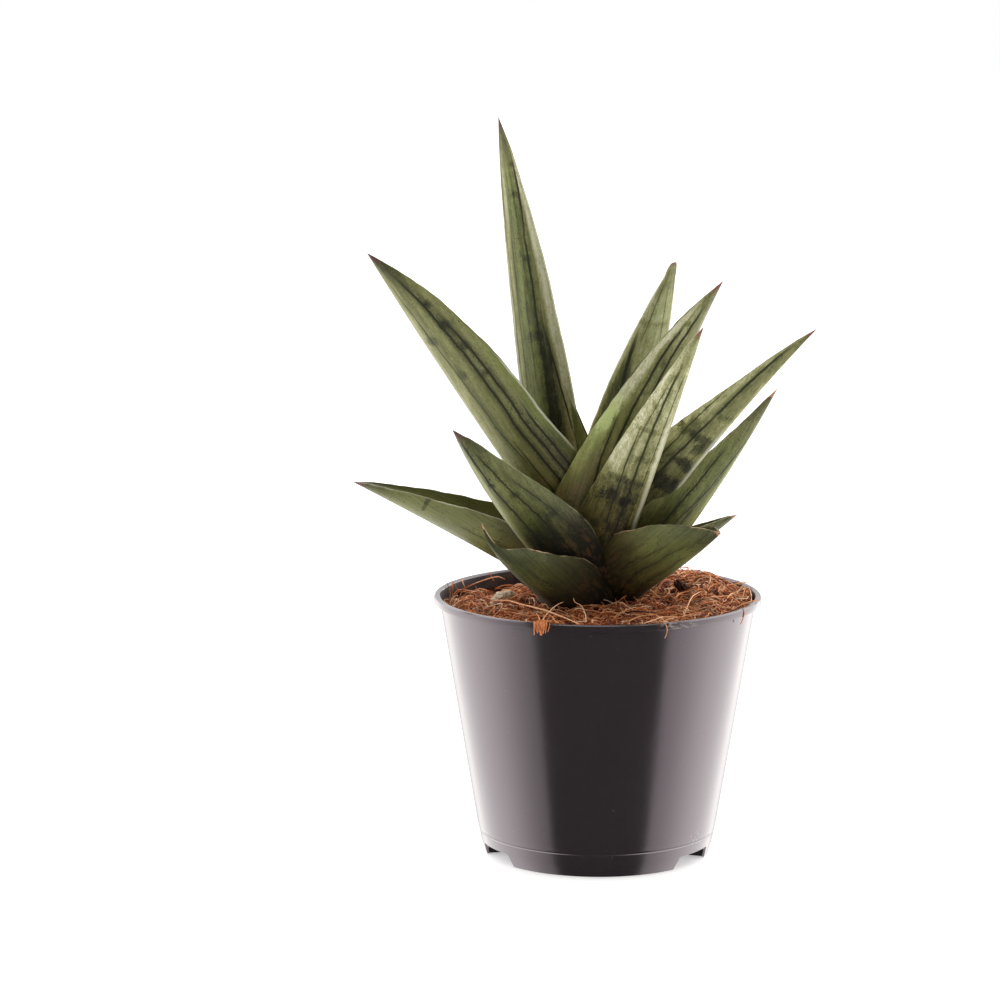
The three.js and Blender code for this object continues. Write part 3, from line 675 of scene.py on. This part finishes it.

# What grew where: place and form of each leaf (degrees and millimetres), then its markings.
# deep: depth of the channel to its width, and heel what is left of it at the foot. taper: power
# that the width falls off by. hook: extra rise in the last fifth. needle: how far the last third
# is drawn in. margins: middle and half of the part with lifted edges, then far and near lift.
# tone: how pale the skin is, 0 to 1. tip: horny tip in millimetres. low, dry: shares of the
# length that the dark foot (painted shade where the leaves crowd at the crown) and the dried
# point take. The other single numbers are strengths.
# Side is 0 outside or 1 inside; across runs from -1 to 1.
# Tone zones: (side, across, half width, from, to, change of tone), frosted pale skin but also
# painted light and painted shade on lit and shaded wings and at the foot; fresh: the same, but
# greener.
# lines: (side, across where it starts, across where it ends, from, to, width, strength); some
# dark lines are painted shade in a groove or keel, and a negative strength gives a pale line
# that is a painted highlight.
# blots: (side, across, place along, half width, half length, strength).
LEAVES = {
    "leaf_spike": dict(
        turn=175, out=2, up=112, length=57.7, rise=81.4, width=13, taper=2.2, seed=1, tone=0.66,
        tip=1.5, redness=0, lines=[(0, 0.25, 0.2, 0, 0.7, 0.6, 0.8),
        (0, -0.15, -0.1, 0, 0.8, 0.6, 0.8), (0, 0.6, 0.6, 0, 0.7, 0.5, 0.6)],
        fresh=[(0, 0, 1, 0.2, 1, 0.5)]),
    "leaf_back_right": dict(
        turn=66, out=11, up=105, length=122.8, rise=58.8, curve=5, width=24, deep=0.88, taper=2.5,
        seed=2, blunt=1, tone=0.84, tip=3, frost_and_painted_shading_zones=[(0, 0, 1.2, 0, 1, -0.13),
        (1, 0.8, 0.4, 0.05, 0.6, -0.16), (1, 0.66, 0.22, 0, 0.66, -0.3),
        (1, 0.98, 0.16, 0.5, 1, 0.1), (1, -0.3, 1, 0, 0.4, -0.15)],
        lines=[(0, 0.62, 0.55, 0, 0.85, 0.8, 0.9), (0, -0.62, -0.55, 0, 0.8, 0.8, 0.9),
        (0, 0.05, 0, 0, 0.7, 0.6, 0.7), (1, 0.42, 0.77, 0.46, 0.72, 1.4, 1.0),
        (1, -0.36, -0.2, 0.6, 0.9, 0.35, 0.5), (1, 0.5, 0.5, 0.72, 0.92, 0.35, 0.5),
        (0, 0.4, 0.4, 0, 0.8, 0.7, 0.7), (0, -0.4, -0.4, 0, 0.8, 0.7, 0.7)],
        blots=[(0, 0.3, 0.56, 0.3, 0.012, 0.7), (0, -0.3, 0.4, 0.3, 0.014, 0.7),
        (1, 0.1, 0.775, 0.8, 0.012, 0.4)], fresh=[(1, -0.2, 0.8, 0.3, 0.95, 0.3)]),
    "leaf_left_long": dict(
        turn=200, out=9, up=100.5, length=146.7, rise=55.7, curve=3, roll=-12, width=31.5,
        deep=0.7, taper=4.3, margins=(0.44, 0.15, 2.0, -1.6), seed=3, tone=0.49, rust=0.9,
        frost_and_painted_shading_zones=[(0, 0.08, 0.24, 0.05, 1, 0.19), (0, 0.44, 0.1, 0.1, 0.9, 0.13),
        (0, 0.66, 0.05, 0.1, 0.7, 0.1), (1, 0, 1.2, 0, 1, 0.16), (0, -0.5, 0.5, 0, 1, 0.08),
        (0, 0.88, 0.12, 0.4, 0.9, 0.13)], lines=[(0, 0.36, 0.15, 0.35, 0.9, 0.5, 0.65),
        (0, 0.56, 0.6, 0.05, 0.91, 0.85, 1.0), (0, 0.69, 0.73, 0.05, 0.765, 0.8, 1.0),
        (0, 0.77, 0.83, 0, 0.48, 0.75, 1.0), (0, 0.42, 0.4, 0, 0.4, 0.6, 0.7),
        (0, 0.985, 0.985, 0.32, 0.63, 0.65, -0.7), (0, -0.3, -0.3, 0, 0.9, 0.8, 0.9),
        (0, -0.6, -0.6, 0, 0.8, 0.8, 0.8), (1, 0.4, 0.4, 0, 0.8, 0.7, 0.6),
        (1, -0.4, -0.4, 0, 0.8, 0.7, 0.6)], blots=[(0, 0.68, 0.82, 0.12, 0.01, 0.6),
        (0, 0.62, 0.755, 0.12, 0.012, 0.7), (0, 0.68, 0.685, 0.1, 0.011, 0.65),
        (0, 0.19, 0.73, 0.14, 0.01, 0.6), (0, 0.66, 0.6, 0.08, 0.01, 0.6),
        (0, 0.3, 0.62, 0.1, 0.01, 0.4)], fresh=[(0, 0.93, 0.09, 0.25, 0.68, 0.6)], low=0.3),
    "leaf_right_upper": dict(
        turn=340, out=6.5, up=103, length=117.9, rise=68.8, curve=-11, roll=-12, width=32,
        deep=0.92, taper=2.37, seed=4, tone=0.67, redness=0.6, rust=0.7,
        frost_and_painted_shading_zones=[(0, -0.95, 0.14, 0.45, 0.95, 0.28), (0, -0.62, 0.2, 0.76, 0.95, 0.14),
        (0, -0.98, 0.16, 0.3, 0.55, 0.14)], lines=[(0, -0.62, -0.76, 0.42, 0.83, 0.85, 1.0),
        (0, -0.5, -0.54, 0.6, 0.9, 0.9, 1.0), (0, -0.64, -0.8, 0.28, 0.5, 0.6, 0.9),
        (0, 0.4, 0.4, 0, 0.8, 0.9, 0.8), (1, -0.4, -0.4, 0, 0.8, 0.7, 0.6)],
        blots=[(0, -0.7, 0.84, 0.1, 0.012, 0.7), (0, -0.6, 0.7, 0.06, 0.012, 0.5)],
        fresh=[(0, -1.0, 0.22, 0.25, 0.58, 1.0)]),
    "leaf_tall": dict(
        turn=148, out=16, up=90, length=181.3, rise=81.3, roll=25, width=22, deep=0.6, taper=3,
        seed=5, grainy=1.2, tone=0.57, streaks=0.4, frost_and_painted_shading_zones=[(1, -1.0, 0.42, 0.2, 0.97, 0.4),
        (1, 0.9, 0.4, 0.2, 0.97, 0.18), (1, -0.36, 0.18, 0, 0.56, -0.34),
        (1, -0.1, 0.14, 0.2, 0.9, -0.08)], lines=[(1, -0.12, -0.31, 0.06, 0.77, 0.8, 1.0),
        (1, -0.29, -0.8, 0.74, 0.93, 0.7, 0.9), (1, -0.78, -0.42, 0.36, 0.58, 0.6, 0.9),
        (1, 0.55, 0.5, 0.25, 0.8, 0.4, 0.5), (1, 0.14, 0.06, 0.45, 0.68, 0.45, 0.55),
        (0, 0.38, 0.33, 0, 0.9, 1.1, 1.0), (0, -0.35, -0.3, 0, 0.86, 1.0, 1.0),
        (0, 0.04, -0.05, 0, 0.7, 0.7, 0.8), (0, 0.68, 0.6, 0.1, 0.7, 0.8, 0.9),
        (0, -0.7, -0.64, 0.1, 0.8, 0.7, 0.9)], blots=[(1, -0.5, 0.9, 0.4, 0.006, 0.7),
        (1, -0.35, 0.84, 0.35, 0.007, 0.7), (1, -0.2, 0.71, 0.2, 0.006, 0.5),
        (1, 0.12, 0.55, 0.3, 0.01, 0.5), (0, 0.3, 0.62, 0.3, 0.01, 0.7),
        (0, -0.4, 0.47, 0.3, 0.012, 0.7), (0, 0.2, 0.33, 0.4, 0.014, 0.8)],
        fresh=[(1, 0.08, 0.55, 0.3, 0.93, 0.7)]),
    "leaf_right_long": dict(
        turn=331, out=10, up=98, length=128.8, rise=50.2, curve=-9, roll=3, width=26.4, deep=1.19,
        taper=1.12, seed=6, grainy=1.4, tone=0.66, redness=0.8,
        frost_and_painted_shading_zones=[(0, -0.88, 0.2, 0.3, 1, 0.14), (0, -0.25, 0.16, 0.4, 0.6, 0.02),
        (0, -0.4, 0.8, 0, 0.46, -0.2), (0, -0.3, 0.2, 0.6, 0.9, -0.05)],
        lines=[(0, -0.6, -0.93, 0.36, 0.68, 0.45, 0.8), (0, -0.43, -0.54, 0.2, 0.62, 0.8, 1.0),
        (0, -0.52, -0.74, 0.6, 0.9, 0.8, 0.9), (0, -0.2, -0.2, 0.3, 0.55, 0.4, 0.5),
        (0, 0.4, 0.4, 0, 0.85, 0.9, 0.9), (1, -0.3, -0.3, 0, 0.8, 0.7, 0.6),
        (0, -0.01, -0.06, 0.3, 0.6, 1.3, -0.5)], blots=[(0, -0.5, 0.53, 0.5, 0.014, 1.0),
        (0, -0.72, 0.555, 0.14, 0.02, 0.9), (0, -0.35, 0.62, 0.16, 0.016, 0.6),
        (0, -0.2, 0.505, 0.14, 0.02, 0.9), (0, -0.4, 0.44, 0.3, 0.016, 1.0),
        (0, -0.14, 0.43, 0.12, 0.014, 0.9), (0, -0.4, 0.36, 0.4, 0.02, 0.9)]),
    "leaf_front_pale": dict(
        turn=304, out=11, up=96, length=118.5, rise=61.2, curve=2.4, roll=-14, width=21.5,
        deep=0.96, taper=2.1, seed=7, tone=0.81, redness=0.8, stipple=1.1, grainy=1.9,
        frost_and_painted_shading_zones=[(0, -0.85, 0.18, 0.4, 0.95, 0.1), (0, -0.12, 0.14, 0.3, 0.95, 0.04),
        (0, -0.6, 0.75, 0, 0.44, -0.34), (0, -0.3, 0.2, 0.3, 0.6, -0.1)],
        lines=[(0, -0.48, -0.71, 0.26, 0.6, 0.55, 0.75), (0, -0.28, -0.5, 0.2, 0.85, 0.75, 0.85),
        (0, -0.16, -0.16, 0.2, 0.84, 0.4, 0.6), (0, -0.64, -0.62, 0.55, 0.8, 0.5, 0.5),
        (1, -0.4, -0.4, 0, 0.8, 0.7, 0.6), (1, 0.4, 0.4, 0, 0.8, 0.7, 0.6),
        (0, -0.02, -0.06, 0.24, 0.66, 1.3, -0.6)], blots=[(0, -0.4, 0.61, 0.3, 0.01, 0.45),
        (0, -0.25, 0.51, 0.2, 0.01, 0.4), (0, -0.45, 0.42, 0.3, 0.011, 0.6),
        (0, -0.3, 0.35, 0.4, 0.02, 0.8), (0, -0.7, 0.8, 0.16, 0.02, 0.5),
        (0, -0.6, 0.7, 0.14, 0.02, 0.5)]),
    "leaf_left_mid": dict(
        turn=224, out=15, up=94, length=90, rise=48.7, curve=16, roll=-2, width=31, deep=0.65,
        heel=0.5, taper=2.6, seed=8, tone=0.5, rust=0.6, low=0.4,
        frost_and_painted_shading_zones=[(0, -0.1, 0.2, 0.1, 0.95, 0.14), (0, 0.9, 0.3, 0, 0.36, -0.2),
        (0, 0.3, 0.26, 0.05, 0.42, -0.2), (0, 0.4, 0.2, 0.6, 1, 0.05),
        (0, 0.45, 0.8, 0.1, 0.5, -0.12)], lines=[(0, 0.27, 0.15, 0.3, 0.92, 0.75, 0.9),
        (0, 0.55, 0.48, 0.2, 0.86, 0.7, 0.9), (0, 0.81, 0.72, 0.2, 0.7, 0.5, 0.7),
        (1, 0.4, 0.4, 0, 0.8, 0.7, 0.6)], blots=[(0, 0.2, 0.7, 0.12, 0.01, 0.7),
        (0, 0.5, 0.62, 0.1, 0.014, 0.5), (0, 0.75, 0.45, 0.08, 0.014, 0.35)],
        fresh=[(0, 0.3, 0.9, 0.4, 1, 0.3)]),
    "leaf_right_mid": dict(
        turn=345, out=15, up=91, length=98.5, rise=56.5, curve=12.5, roll=-5, width=24, deep=1.12,
        taper=1.4, seed=9, dry=0.035, tone=0.57, frost_and_painted_shading_zones=[(0, -0.04, 0.14, 0.1, 0.85, 0.14),
        (0, -0.7, 0.2, 0, 0.5, -0.1), (0, -0.9, 0.14, 0.4, 0.9, 0.05)],
        lines=[(0, -0.52, -0.68, 0.2, 0.7, 0.6, 0.95), (0, -0.42, -0.13, 0.36, 0.82, 0.45, 0.75),
        (0, -0.3, -0.3, 0, 0.5, 0.5, 0.6), (0, 0.5, 0.5, 0, 0.8, 0.8, 0.7),
        (1, -0.4, -0.4, 0, 0.8, 0.7, 0.6)], fresh=[(0, -0.5, 0.6, 0.1, 0.8, 0.5)]),
    "leaf_back_mid": dict(
        turn=92, out=15, up=93, length=64, rise=45, width=23, taper=2.1, seed=10, tone=0.47,
        low=0.5, lines=[(0, -0.4, -0.4, 0, 0.8, 0.7, 0.8), (0, 0.1, 0.1, 0, 0.8, 0.7, 0.8),
        (0, 0.5, 0.5, 0, 0.8, 0.7, 0.8)]),
    "leaf_right_low": dict(
        turn=350, out=14, up=91, length=52.5, rise=41, width=20, heel=0.5, taper=2, seed=11,
        dry=0.04, tip=2, tone=0.64, lines=[(0, -0.4, -0.4, 0, 0.8, 0.6, 0.5),
        (1, 0.2, 0.2, 0, 0.8, 0.6, 0.4)]),
    "leaf_left_low": dict(
        turn=180, out=14, up=89, length=91.1, rise=28.6, curve=-2.4, roll=5.4, width=22.3,
        deep=0.98, heel=0.5, taper=2.2, seed=12, tone=0.57, grainy=0.4, hem=0.7,
        frost_and_painted_shading_zones=[(1, 0, 1.2, 0, 1, 0.04), (0, 0.5, 0.6, 0, 0.42, -0.14)],
        lines=[(0, 0.45, 0.5, 0, 0.55, 0.5, 0.4), (1, -0.2, -0.2, 0, 0.85, 0.7, 0.8),
        (0, -0.5, -0.5, 0, 0.8, 0.7, 0.5)], blots=[(0, 0.72, 0.7, 0.3, 0.008, 0.7)],
        fresh=[(0, 0.5, 0.8, 0, 1, 0.3)]),
    "leaf_back_right_low": dict(
        turn=48, out=16, up=90, length=54, rise=34, width=22, heel=0.5, taper=2, seed=13,
        tone=0.47, low=0.5, lines=[(0, -0.3, -0.3, 0, 0.8, 0.7, 0.7),
        (0, 0.3, 0.3, 0, 0.8, 0.7, 0.7)]),
    "leaf_back_left_low": dict(
        turn=135, out=16, up=90, length=48, rise=36, width=21, heel=0.5, taper=2, seed=14,
        tone=0.47, low=0.5, lines=[(0, -0.3, -0.3, 0, 0.8, 0.7, 0.7),
        (0, 0.3, 0.3, 0, 0.8, 0.7, 0.7)]),
    "leaf_front_right_low": dict(
        turn=311, out=14, up=89, length=65.2, rise=32.8, curve=6.6, roll=9.7, width=23.4,
        deep=0.95, heel=0.5, taper=3.8, seed=15, dry=0.022, tip=3, rust=0.6, tone=0.45, grainy=0.5,
        gloss=0.25, low=0.6, hem=0.9, tan=1, frost_and_painted_shading_zones=[(0, -0.7, 0.3, 0.4, 1, 0.04)],
        lines=[(0, -0.3, -0.34, 0, 0.8, 0.45, 0.5), (0, -0.5, -0.5, 0, 0.7, 0.4, 0.45),
        (0, -0.1, -0.12, 0, 0.7, 0.5, 0.4)], fresh=[(0, -0.6, 0.5, 0.5, 1, 0.3)]),
    "leaf_front_left_low": dict(
        turn=241, out=17.6, up=84, length=84.3, rise=31.1, curve=10.5, roll=-8.7, hook=29.7,
        width=32.3, deep=0.7, heel=0.5, taper=1.13, seed=16, dry=0.03, tip=3, tone=0.28, rust=0.3,
        grainy=0.3, gloss=0.2, hem=0.9, tan=1, low=0.5, needle=0.58,
        fresh=[(0, 0, 1.2, 0.3, 1, 0.35)], lines=[(0, 0.3, 0.3, 0.3, 0.8, 0.6, 0.4),
        (0, -0.2, -0.2, 0, 0.6, 0.6, 0.3)]),
}


def keel_line(leaf):
    """Points on the leaf's keel with the two directions that its sections stand in."""
    turn, roll = math.radians(leaf["turn"]), math.radians(leaf.get("roll", 0))
    aside, up = Vector((math.cos(turn), math.sin(turn), 0)), Vector((0, 0, 1))
    point = aside * leaf["out"] + up * leaf["up"]
    line = []
    for i in range(KEEL_STEPS + 1):
        t = i / KEEL_STEPS
        hook = leaf.get("hook", 0) * min(1, max(0, (t - 0.8) / 0.2))
        climb = math.radians(leaf["rise"] + leaf.get("curve", 0) * (t - 0.5) + hook
                             + (SHEATH_RISE - leaf["rise"]) * math.exp(-t / SHEATH_SHARE))
        along = aside * math.cos(climb) + up * math.sin(climb)
        if i:
            point = point + along * (leaf["length"] / KEEL_STEPS)
        inward = up * math.cos(climb) - aside * math.sin(climb)
        across = inward.cross(along)
        line.append((point, inward * math.cos(roll) + across * math.sin(roll),
                     across * math.cos(roll) - inward * math.sin(roll)))
    return line


def section(leaf, t):
    """One ring of the leaf at share t of its length: [across, inward], keel side then channel."""
    seed = leaf["seed"] * 7.3
    into_tip = max(0.0, (t - TIP_FROM) / TIP_SHARE)
    if leaf.get("blunt"):
        tip = math.sqrt(max(0.0, 1 - into_tip ** 2))
    else:
        tip = max(0.0, 1 - into_tip)
    width = leaf["width"] * (1 - t ** leaf["taper"]) * (0.9 + 0.1 * min(1, t / 0.2)) + tip
    if leaf.get("blunt") and t > 0.9:
        width = max(width, 4.4 * tip)
    drawn_in = min(1, max(0, (t - 0.66) / 0.18))
    width *= 1 - leaf.get("needle", 0) * drawn_in * drawn_in * (3 - 2 * drawn_in)
    heel = leaf.get("heel", 1)
    depth = leaf.get("deep", 0.8) * width * (1 - 0.35 * t) * (heel + (1 - heel) * min(1, t / 0.3))
    flesh = 0.26 * width * (1 - t ** 6) + depth * t ** 6
    middle, half, far, near = leaf.get("margins", (0.5, 0.1, 0, 0))
    swell = math.exp(-((t - middle) / half) ** 2)
    waves = []
    for side, lift in ((-1, far), (1, near)):
        wave = (noise.noise(Vector((t * 9, seed, side * 4.0))) * 0.5
                + noise.noise(Vector((t * 34, seed, side * 9.0))) * 0.22)
        waves.append(wave * min(1.0, width / 12) + lift * swell)
    ring = []
    for i in range(RING_OUTER):
        a = TOP_ANGLE * (2 * i / (RING_OUTER - 1) - 1)
        belly = (1 - KEEL_SHARE) * (1 - math.cos(a)) + KEEL_SHARE * abs(math.sin(a)) ** 1.3
        edge = abs(math.sin(a)) ** 6
        ring.append((width / 2 * math.sin(a), depth * belly + waves[a > 0] * edge))
    for i in range(RING_INNER):
        a = TOP_ANGLE * (1 - 2 * i / (RING_INNER - 1))
        half = max(0.05, width / 2 - min(LIP, width * 0.2))
        edge = abs(math.sin(a)) ** 6
        x = half * math.sin(a)
        groove = 0.5 * math.exp(-(x / 1.1) ** 2) * (1 - t) * min(1.0, width / 12)
        y = flesh + (depth - flesh) * (1 - math.cos(a)) - groove + waves[a > 0] * edge
        ring.append((x, y))
    return ring


def arc_places(points):
    """Distance of each point from the middle of its row, measured along the row."""
    run = [0.0]
    for a, b in zip(points, points[1:]):
        run.append(run[-1] + math.hypot(b[0] - a[0], b[1] - a[1]))
    return [value - run[-1] / 2 for value in run], run[-1] / 2


# The blank that every leaf is shaped from: a closed tube with as many sides as a leaf's section
# has points, drawn out ring by ring.
bpy.ops.mesh.primitive_circle_add(vertices=RING, radius=1, fill_type="NOTHING")
blank = start_piece("leaf_blank")
edit_all()
for _ in range(STATIONS):
    bpy.ops.mesh.extrude_region_move(TRANSFORM_OT_translate={"value": (0, 0, 1)})
close_ends(blank, lambda spot: spot.z < 0.5)
bpy.ops.object.mode_set(mode="OBJECT")
blank_spots = []
for vertex in blank.data.vertices:
    turn = math.atan2(vertex.co.y, vertex.co.x) % (2 * math.pi)
    blank_spots.append((round(vertex.co.z), round(turn / (2 * math.pi) * RING) % RING))

LEAF_PLACES = ("sideways", "span", "lengthways", "along", "inner")


def leaf_finish(name, leaf):
    """Waxy leaf skin, laid out in the leaf's own directions: across, along, inside or outside."""
    skin = Finish(name + "_skin", Specular_IOR_Level=leaf.get("gloss", 0.4),
                  Sheen_Weight=0.1, Sheen_Roughness=0.35, Sheen_Tint=(1.0, 1.0, 0.75, 1))
    times, plus, minus, swing = skin.times, skin.plus, skin.minus, skin.swing
    ease, mix, calc = skin.ease, skin.mix, skin.calc
    sideways, span, lengthways, along, inner = (skin.own(key) for key in LEAF_PLACES)
    share = calc("DIVIDE", sideways, span)
    inside = ease(inner, 0.45, 0.55)
    outside = minus(1.0, inside)
    layer = plus(times(inside, 40.0), leaf["seed"] * 13.0)
    place = skin.node("ShaderNodeCombineXYZ", {0: sideways, 1: lengthways, 2: layer}).outputs[0]
    fine = skin.grain(skin.stretched(place, (1, 0.5, 1)), 1.9, 2.0, 0.6)
    coarse = skin.grain(skin.stretched(place, (1, 0.4, 1)), 0.6, 3.0, 0.6)
    broad = skin.grain(skin.stretched(place, (1, 0.45, 1)), 0.13, 2.0)
    streak = skin.grain(skin.stretched(place, (1, 0.03, 1)), 1.3, 2.0)
    sway = skin.grain(skin.stretched(place, (0.01, 1, 1)), 0.05, 2.0)
    swayed = plus(share, swing(sway, 0.06))
    frayed = plus(swing(coarse, 0.8), swing(fine, 1.0))

    def stretch(start, stop, side):
        return times(ease(along, start - 0.04, start + 0.05),
                     ease(along, stop + 0.04, stop - 0.07), inside if side else outside)

    def zone(side, across, half, start, stop, gain):
        away = plus(calc("ABSOLUTE", minus(swayed, across)), swing(coarse, 0.25))
        return times(ease(away, half * 1.15, half * 0.55), stretch(start, stop, side), gain)

    # How pale the skin is, from broad clouds down to fine grains. The listed zones add frosted
    # skin and also painted light and painted shade on lit and shaded wings.
    grainy = 0.09 * leaf.get("grainy", 1.0)
    tone = plus(leaf["tone"], swing(broad, 0.32), swing(streak, leaf.get("streaks", 0.25)),
                *[zone(*row) for row in leaf.get("frost_and_painted_shading_zones", [])],
                swing(ease(fine, 0.36, 0.64), grainy), swing(ease(coarse, 0.34, 0.66), grainy))
    patchy = ease(plus(broad, times(coarse, 0.25)), 0.58, 0.72)
    stipple = times(ease(fine, 0.5, 0.62), patchy, 0.2 * leaf.get("stipple", 0.6))
    tone = minus(tone, stipple)

    # Dark lines, some of them painted shade in a groove or keel, a looser row of dark grains
    # along each of them, pale lines that are painted highlights, and ragged cross blots.
    lines, fringes, painted_highlight_lines, blots = [], [], [], []
    for side, start_at, stop_at, start, stop, width, strength in leaf["lines"]:
        share_of = calc("DIVIDE", minus(along, start), stop - start)
        course = plus(start_at, times(share_of, stop_at - start_at))
        away = times(calc("ABSOLUTE", minus(swayed, course)), span)
        away = plus(away, times(frayed, 0.35))
        reach = stretch(start, stop, side)
        if strength < 0:
            painted_highlight_lines.append(times(ease(away, width, width * 0.2), reach, -strength))
        else:
            lines.append(times(ease(away, width * 0.68, width * 0.3), reach, strength))
            fringes.append(times(ease(away, width + 1.6, 0.4), reach, strength))
    for side, across, spot, half_across, half_along, strength in leaf.get("blots", []):
        aside = calc("DIVIDE", minus(swayed, across), half_across)
        ahead = calc("DIVIDE", minus(along, spot), half_along)
        away = plus(calc("SQRT", plus(times(aside, aside), times(ahead, ahead))),
                    times(frayed, 1.6), swing(broad, 3.0))
        blots.append(times(ease(away, 1.5, 0.5), strength, inside if side else outside))
    tone = minus(tone, times(ease(fine, 0.44, 0.58), skin.higher(*fringes), 0.2))
    if blots:
        tone = minus(tone, times(skin.higher(*blots), 0.32))
    lines = skin.higher(*lines)
    tone = minus(tone, times(lines, minus(tone, 0.1), 0.95))
    dots = times(ease(skin.grain(place, 1.15, 1.0), 0.68, 0.74), 0.2)
    # Towards the foot the tone drops: painted shade where the leaves crowd at the crown.
    low = leaf.get("low", 0.42)
    horny = ease(along, 1 - 20 / leaf["length"], 1 - 6 / leaf["length"])
    tone = minus(minus(tone, dots), times(ease(along, low, 0.02), 0.3))
    tone = minus(tone, times(horny, 0.16))
    colour = skin.ramp(tone, (
        (0.0, (0.012, 0.013, 0.007, 1)), (0.25, (0.042, 0.044, 0.015, 1)),
        (0.45, (0.105, 0.110, 0.036, 1)), (0.65, (0.206, 0.210, 0.076, 1)),
        (0.85, (0.40, 0.40, 0.215, 1)), (1.0, (0.63, 0.63, 0.44, 1))))
    for row in leaf.get("fresh", []):
        colour = mix(zone(*row), colour, (0.84, 1.0, 0.56, 1), "MULTIPLY")

    # Base: olive brown, then nearly black where the leaves clasp, which is painted shade of the
    # crowded crown; rusty grains above it.
    colour = mix(ease(along, low + 0.1, 0.1), colour, (1.0, 0.74, 0.55, 1), "MULTIPLY")
    colour = mix(ease(along, 0.2, 0.04), colour, (0.3, 0.25, 0.22, 1), "MULTIPLY")
    rust = times(ease(coarse, 0.5, 0.6), ease(along, 0.42, 0.15),
                 leaf.get("rust", 0.12), 0.7)
    colour = mix(rust, colour, (0.16, 0.07, 0.022, 1))
    # Painted highlights: pale lines along keels and one margin, mixed in pale grey green.
    if painted_highlight_lines:
        colour = mix(times(skin.higher(*painted_highlight_lines), 0.85), colour, (0.62, 0.62, 0.5, 1))

    # Horny tip, dried point and the thin pale margin.
    tip_from = 1 - leaf.get("tip", 7) / leaf["length"]
    ragged = plus(along, times(frayed, 0.02))
    tip = ease(ragged, tip_from, 1 - 0.3 * (1 - tip_from))
    red = leaf.get("redness", 0.2)
    horn = (0.06 + 0.2 * red, 0.028 + 0.045 * red, 0.03 + 0.025 * red, 1)
    colour = mix(times(tip, 0.9), colour, horn)
    if leaf.get("dry"):
        dry = ease(ragged, 1 - leaf["dry"] * 1.3, 1 - leaf["dry"])
        colour = mix(dry, colour, (0.36, 0.19, 0.115, 1))
    from_edge = times(minus(1.0, calc("ABSOLUTE", share)), span)
    off_lip = ease(calc("ABSOLUTE", minus(inner, 0.5)), 0.35, 0.5)
    hem = skin.higher(ease(from_edge, 0.45, 0.12), times(minus(1.0, off_lip), 0.8))
    worn = ease(plus(broad, swing(coarse, 0.6)), 0.4, 0.6)
    worn = times(worn, ease(along, 1.0, 0.93), ease(along, 0.1, 0.4))
    horn_pale = (0.5, 0.36, 0.22, 1) if leaf.get("tan") else (0.42, 0.45, 0.28, 1)
    margin = mix(ease(coarse, 0.56, 0.66), horn_pale, (0.2, 0.09, 0.05, 1))
    colour = mix(times(hem, worn, leaf.get("hem", 0.45)), colour, margin)
    skin.wire("Base Color", colour)
    skin.wire("Roughness", plus(0.44, ease(tone, 0.34, 0.08, 0.4)))
    ridges = skin.relief(streak, 0.0004, 0.35)
    grooves = plus(fine, times(lines, -0.6))
    skin.wire("Normal", skin.relief(grooves, 0.00022, 0.5, ridges))
    return skin.material


for name, leaf in LEAVES.items():
    line = keel_line(leaf)
    rings = []
    for k in range(STATIONS + 1):
        t = k / STATIONS
        t = t + 0.12 * t * (1 - t)
        ring = section(leaf, t)
        outer, outer_span = arc_places(ring[:RING_OUTER])
        inner, inner_span = arc_places(ring[RING_OUTER:])
        exact = t * (len(line) - 1)
        i = min(int(exact), len(line) - 2)
        point, inward, across = (a.lerp(b, exact - i) for a, b in zip(line[i], line[i + 1]))
        rings.append((t, ring, outer + [-value for value in inner], outer_span, inner_span,
                      point, inward, across))
    mesh = blank.data.copy()
    piece = bpy.data.objects.new(name.replace("leaf", "blade"), mesh)
    bpy.context.collection.objects.link(piece)
    mesh.name = piece.name
    values = []
    for vertex, (k, i) in zip(mesh.vertices, blank_spots):
        t, ring, places, outer_span, inner_span, point, inward, across = rings[k]
        x, y = ring[i]
        vertex.co = (point + across * x + inward * y) * MM
        half_span, inner_face = (outer_span, 0.0) if i < RING_OUTER else (inner_span, 1.0)
        values.append((places[i], max(0.3, half_span), t * leaf["length"], t, inner_face))
    for key, row in zip(LEAF_PLACES, zip(*values)):
        mesh.attributes.new(key, "FLOAT", "POINT").data.foreach_set("value", row)
    make_active(piece)
    edit_all()
    face_outward()
    bpy.ops.object.shade_smooth_by_angle(angle=math.radians(50))
    mesh.materials.append(leaf_finish(name, leaf))
    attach(piece, "root")
    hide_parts(name)
bpy.data.objects.remove(blank)

[[list(corner) for corner in box] for box in (cad_box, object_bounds())]
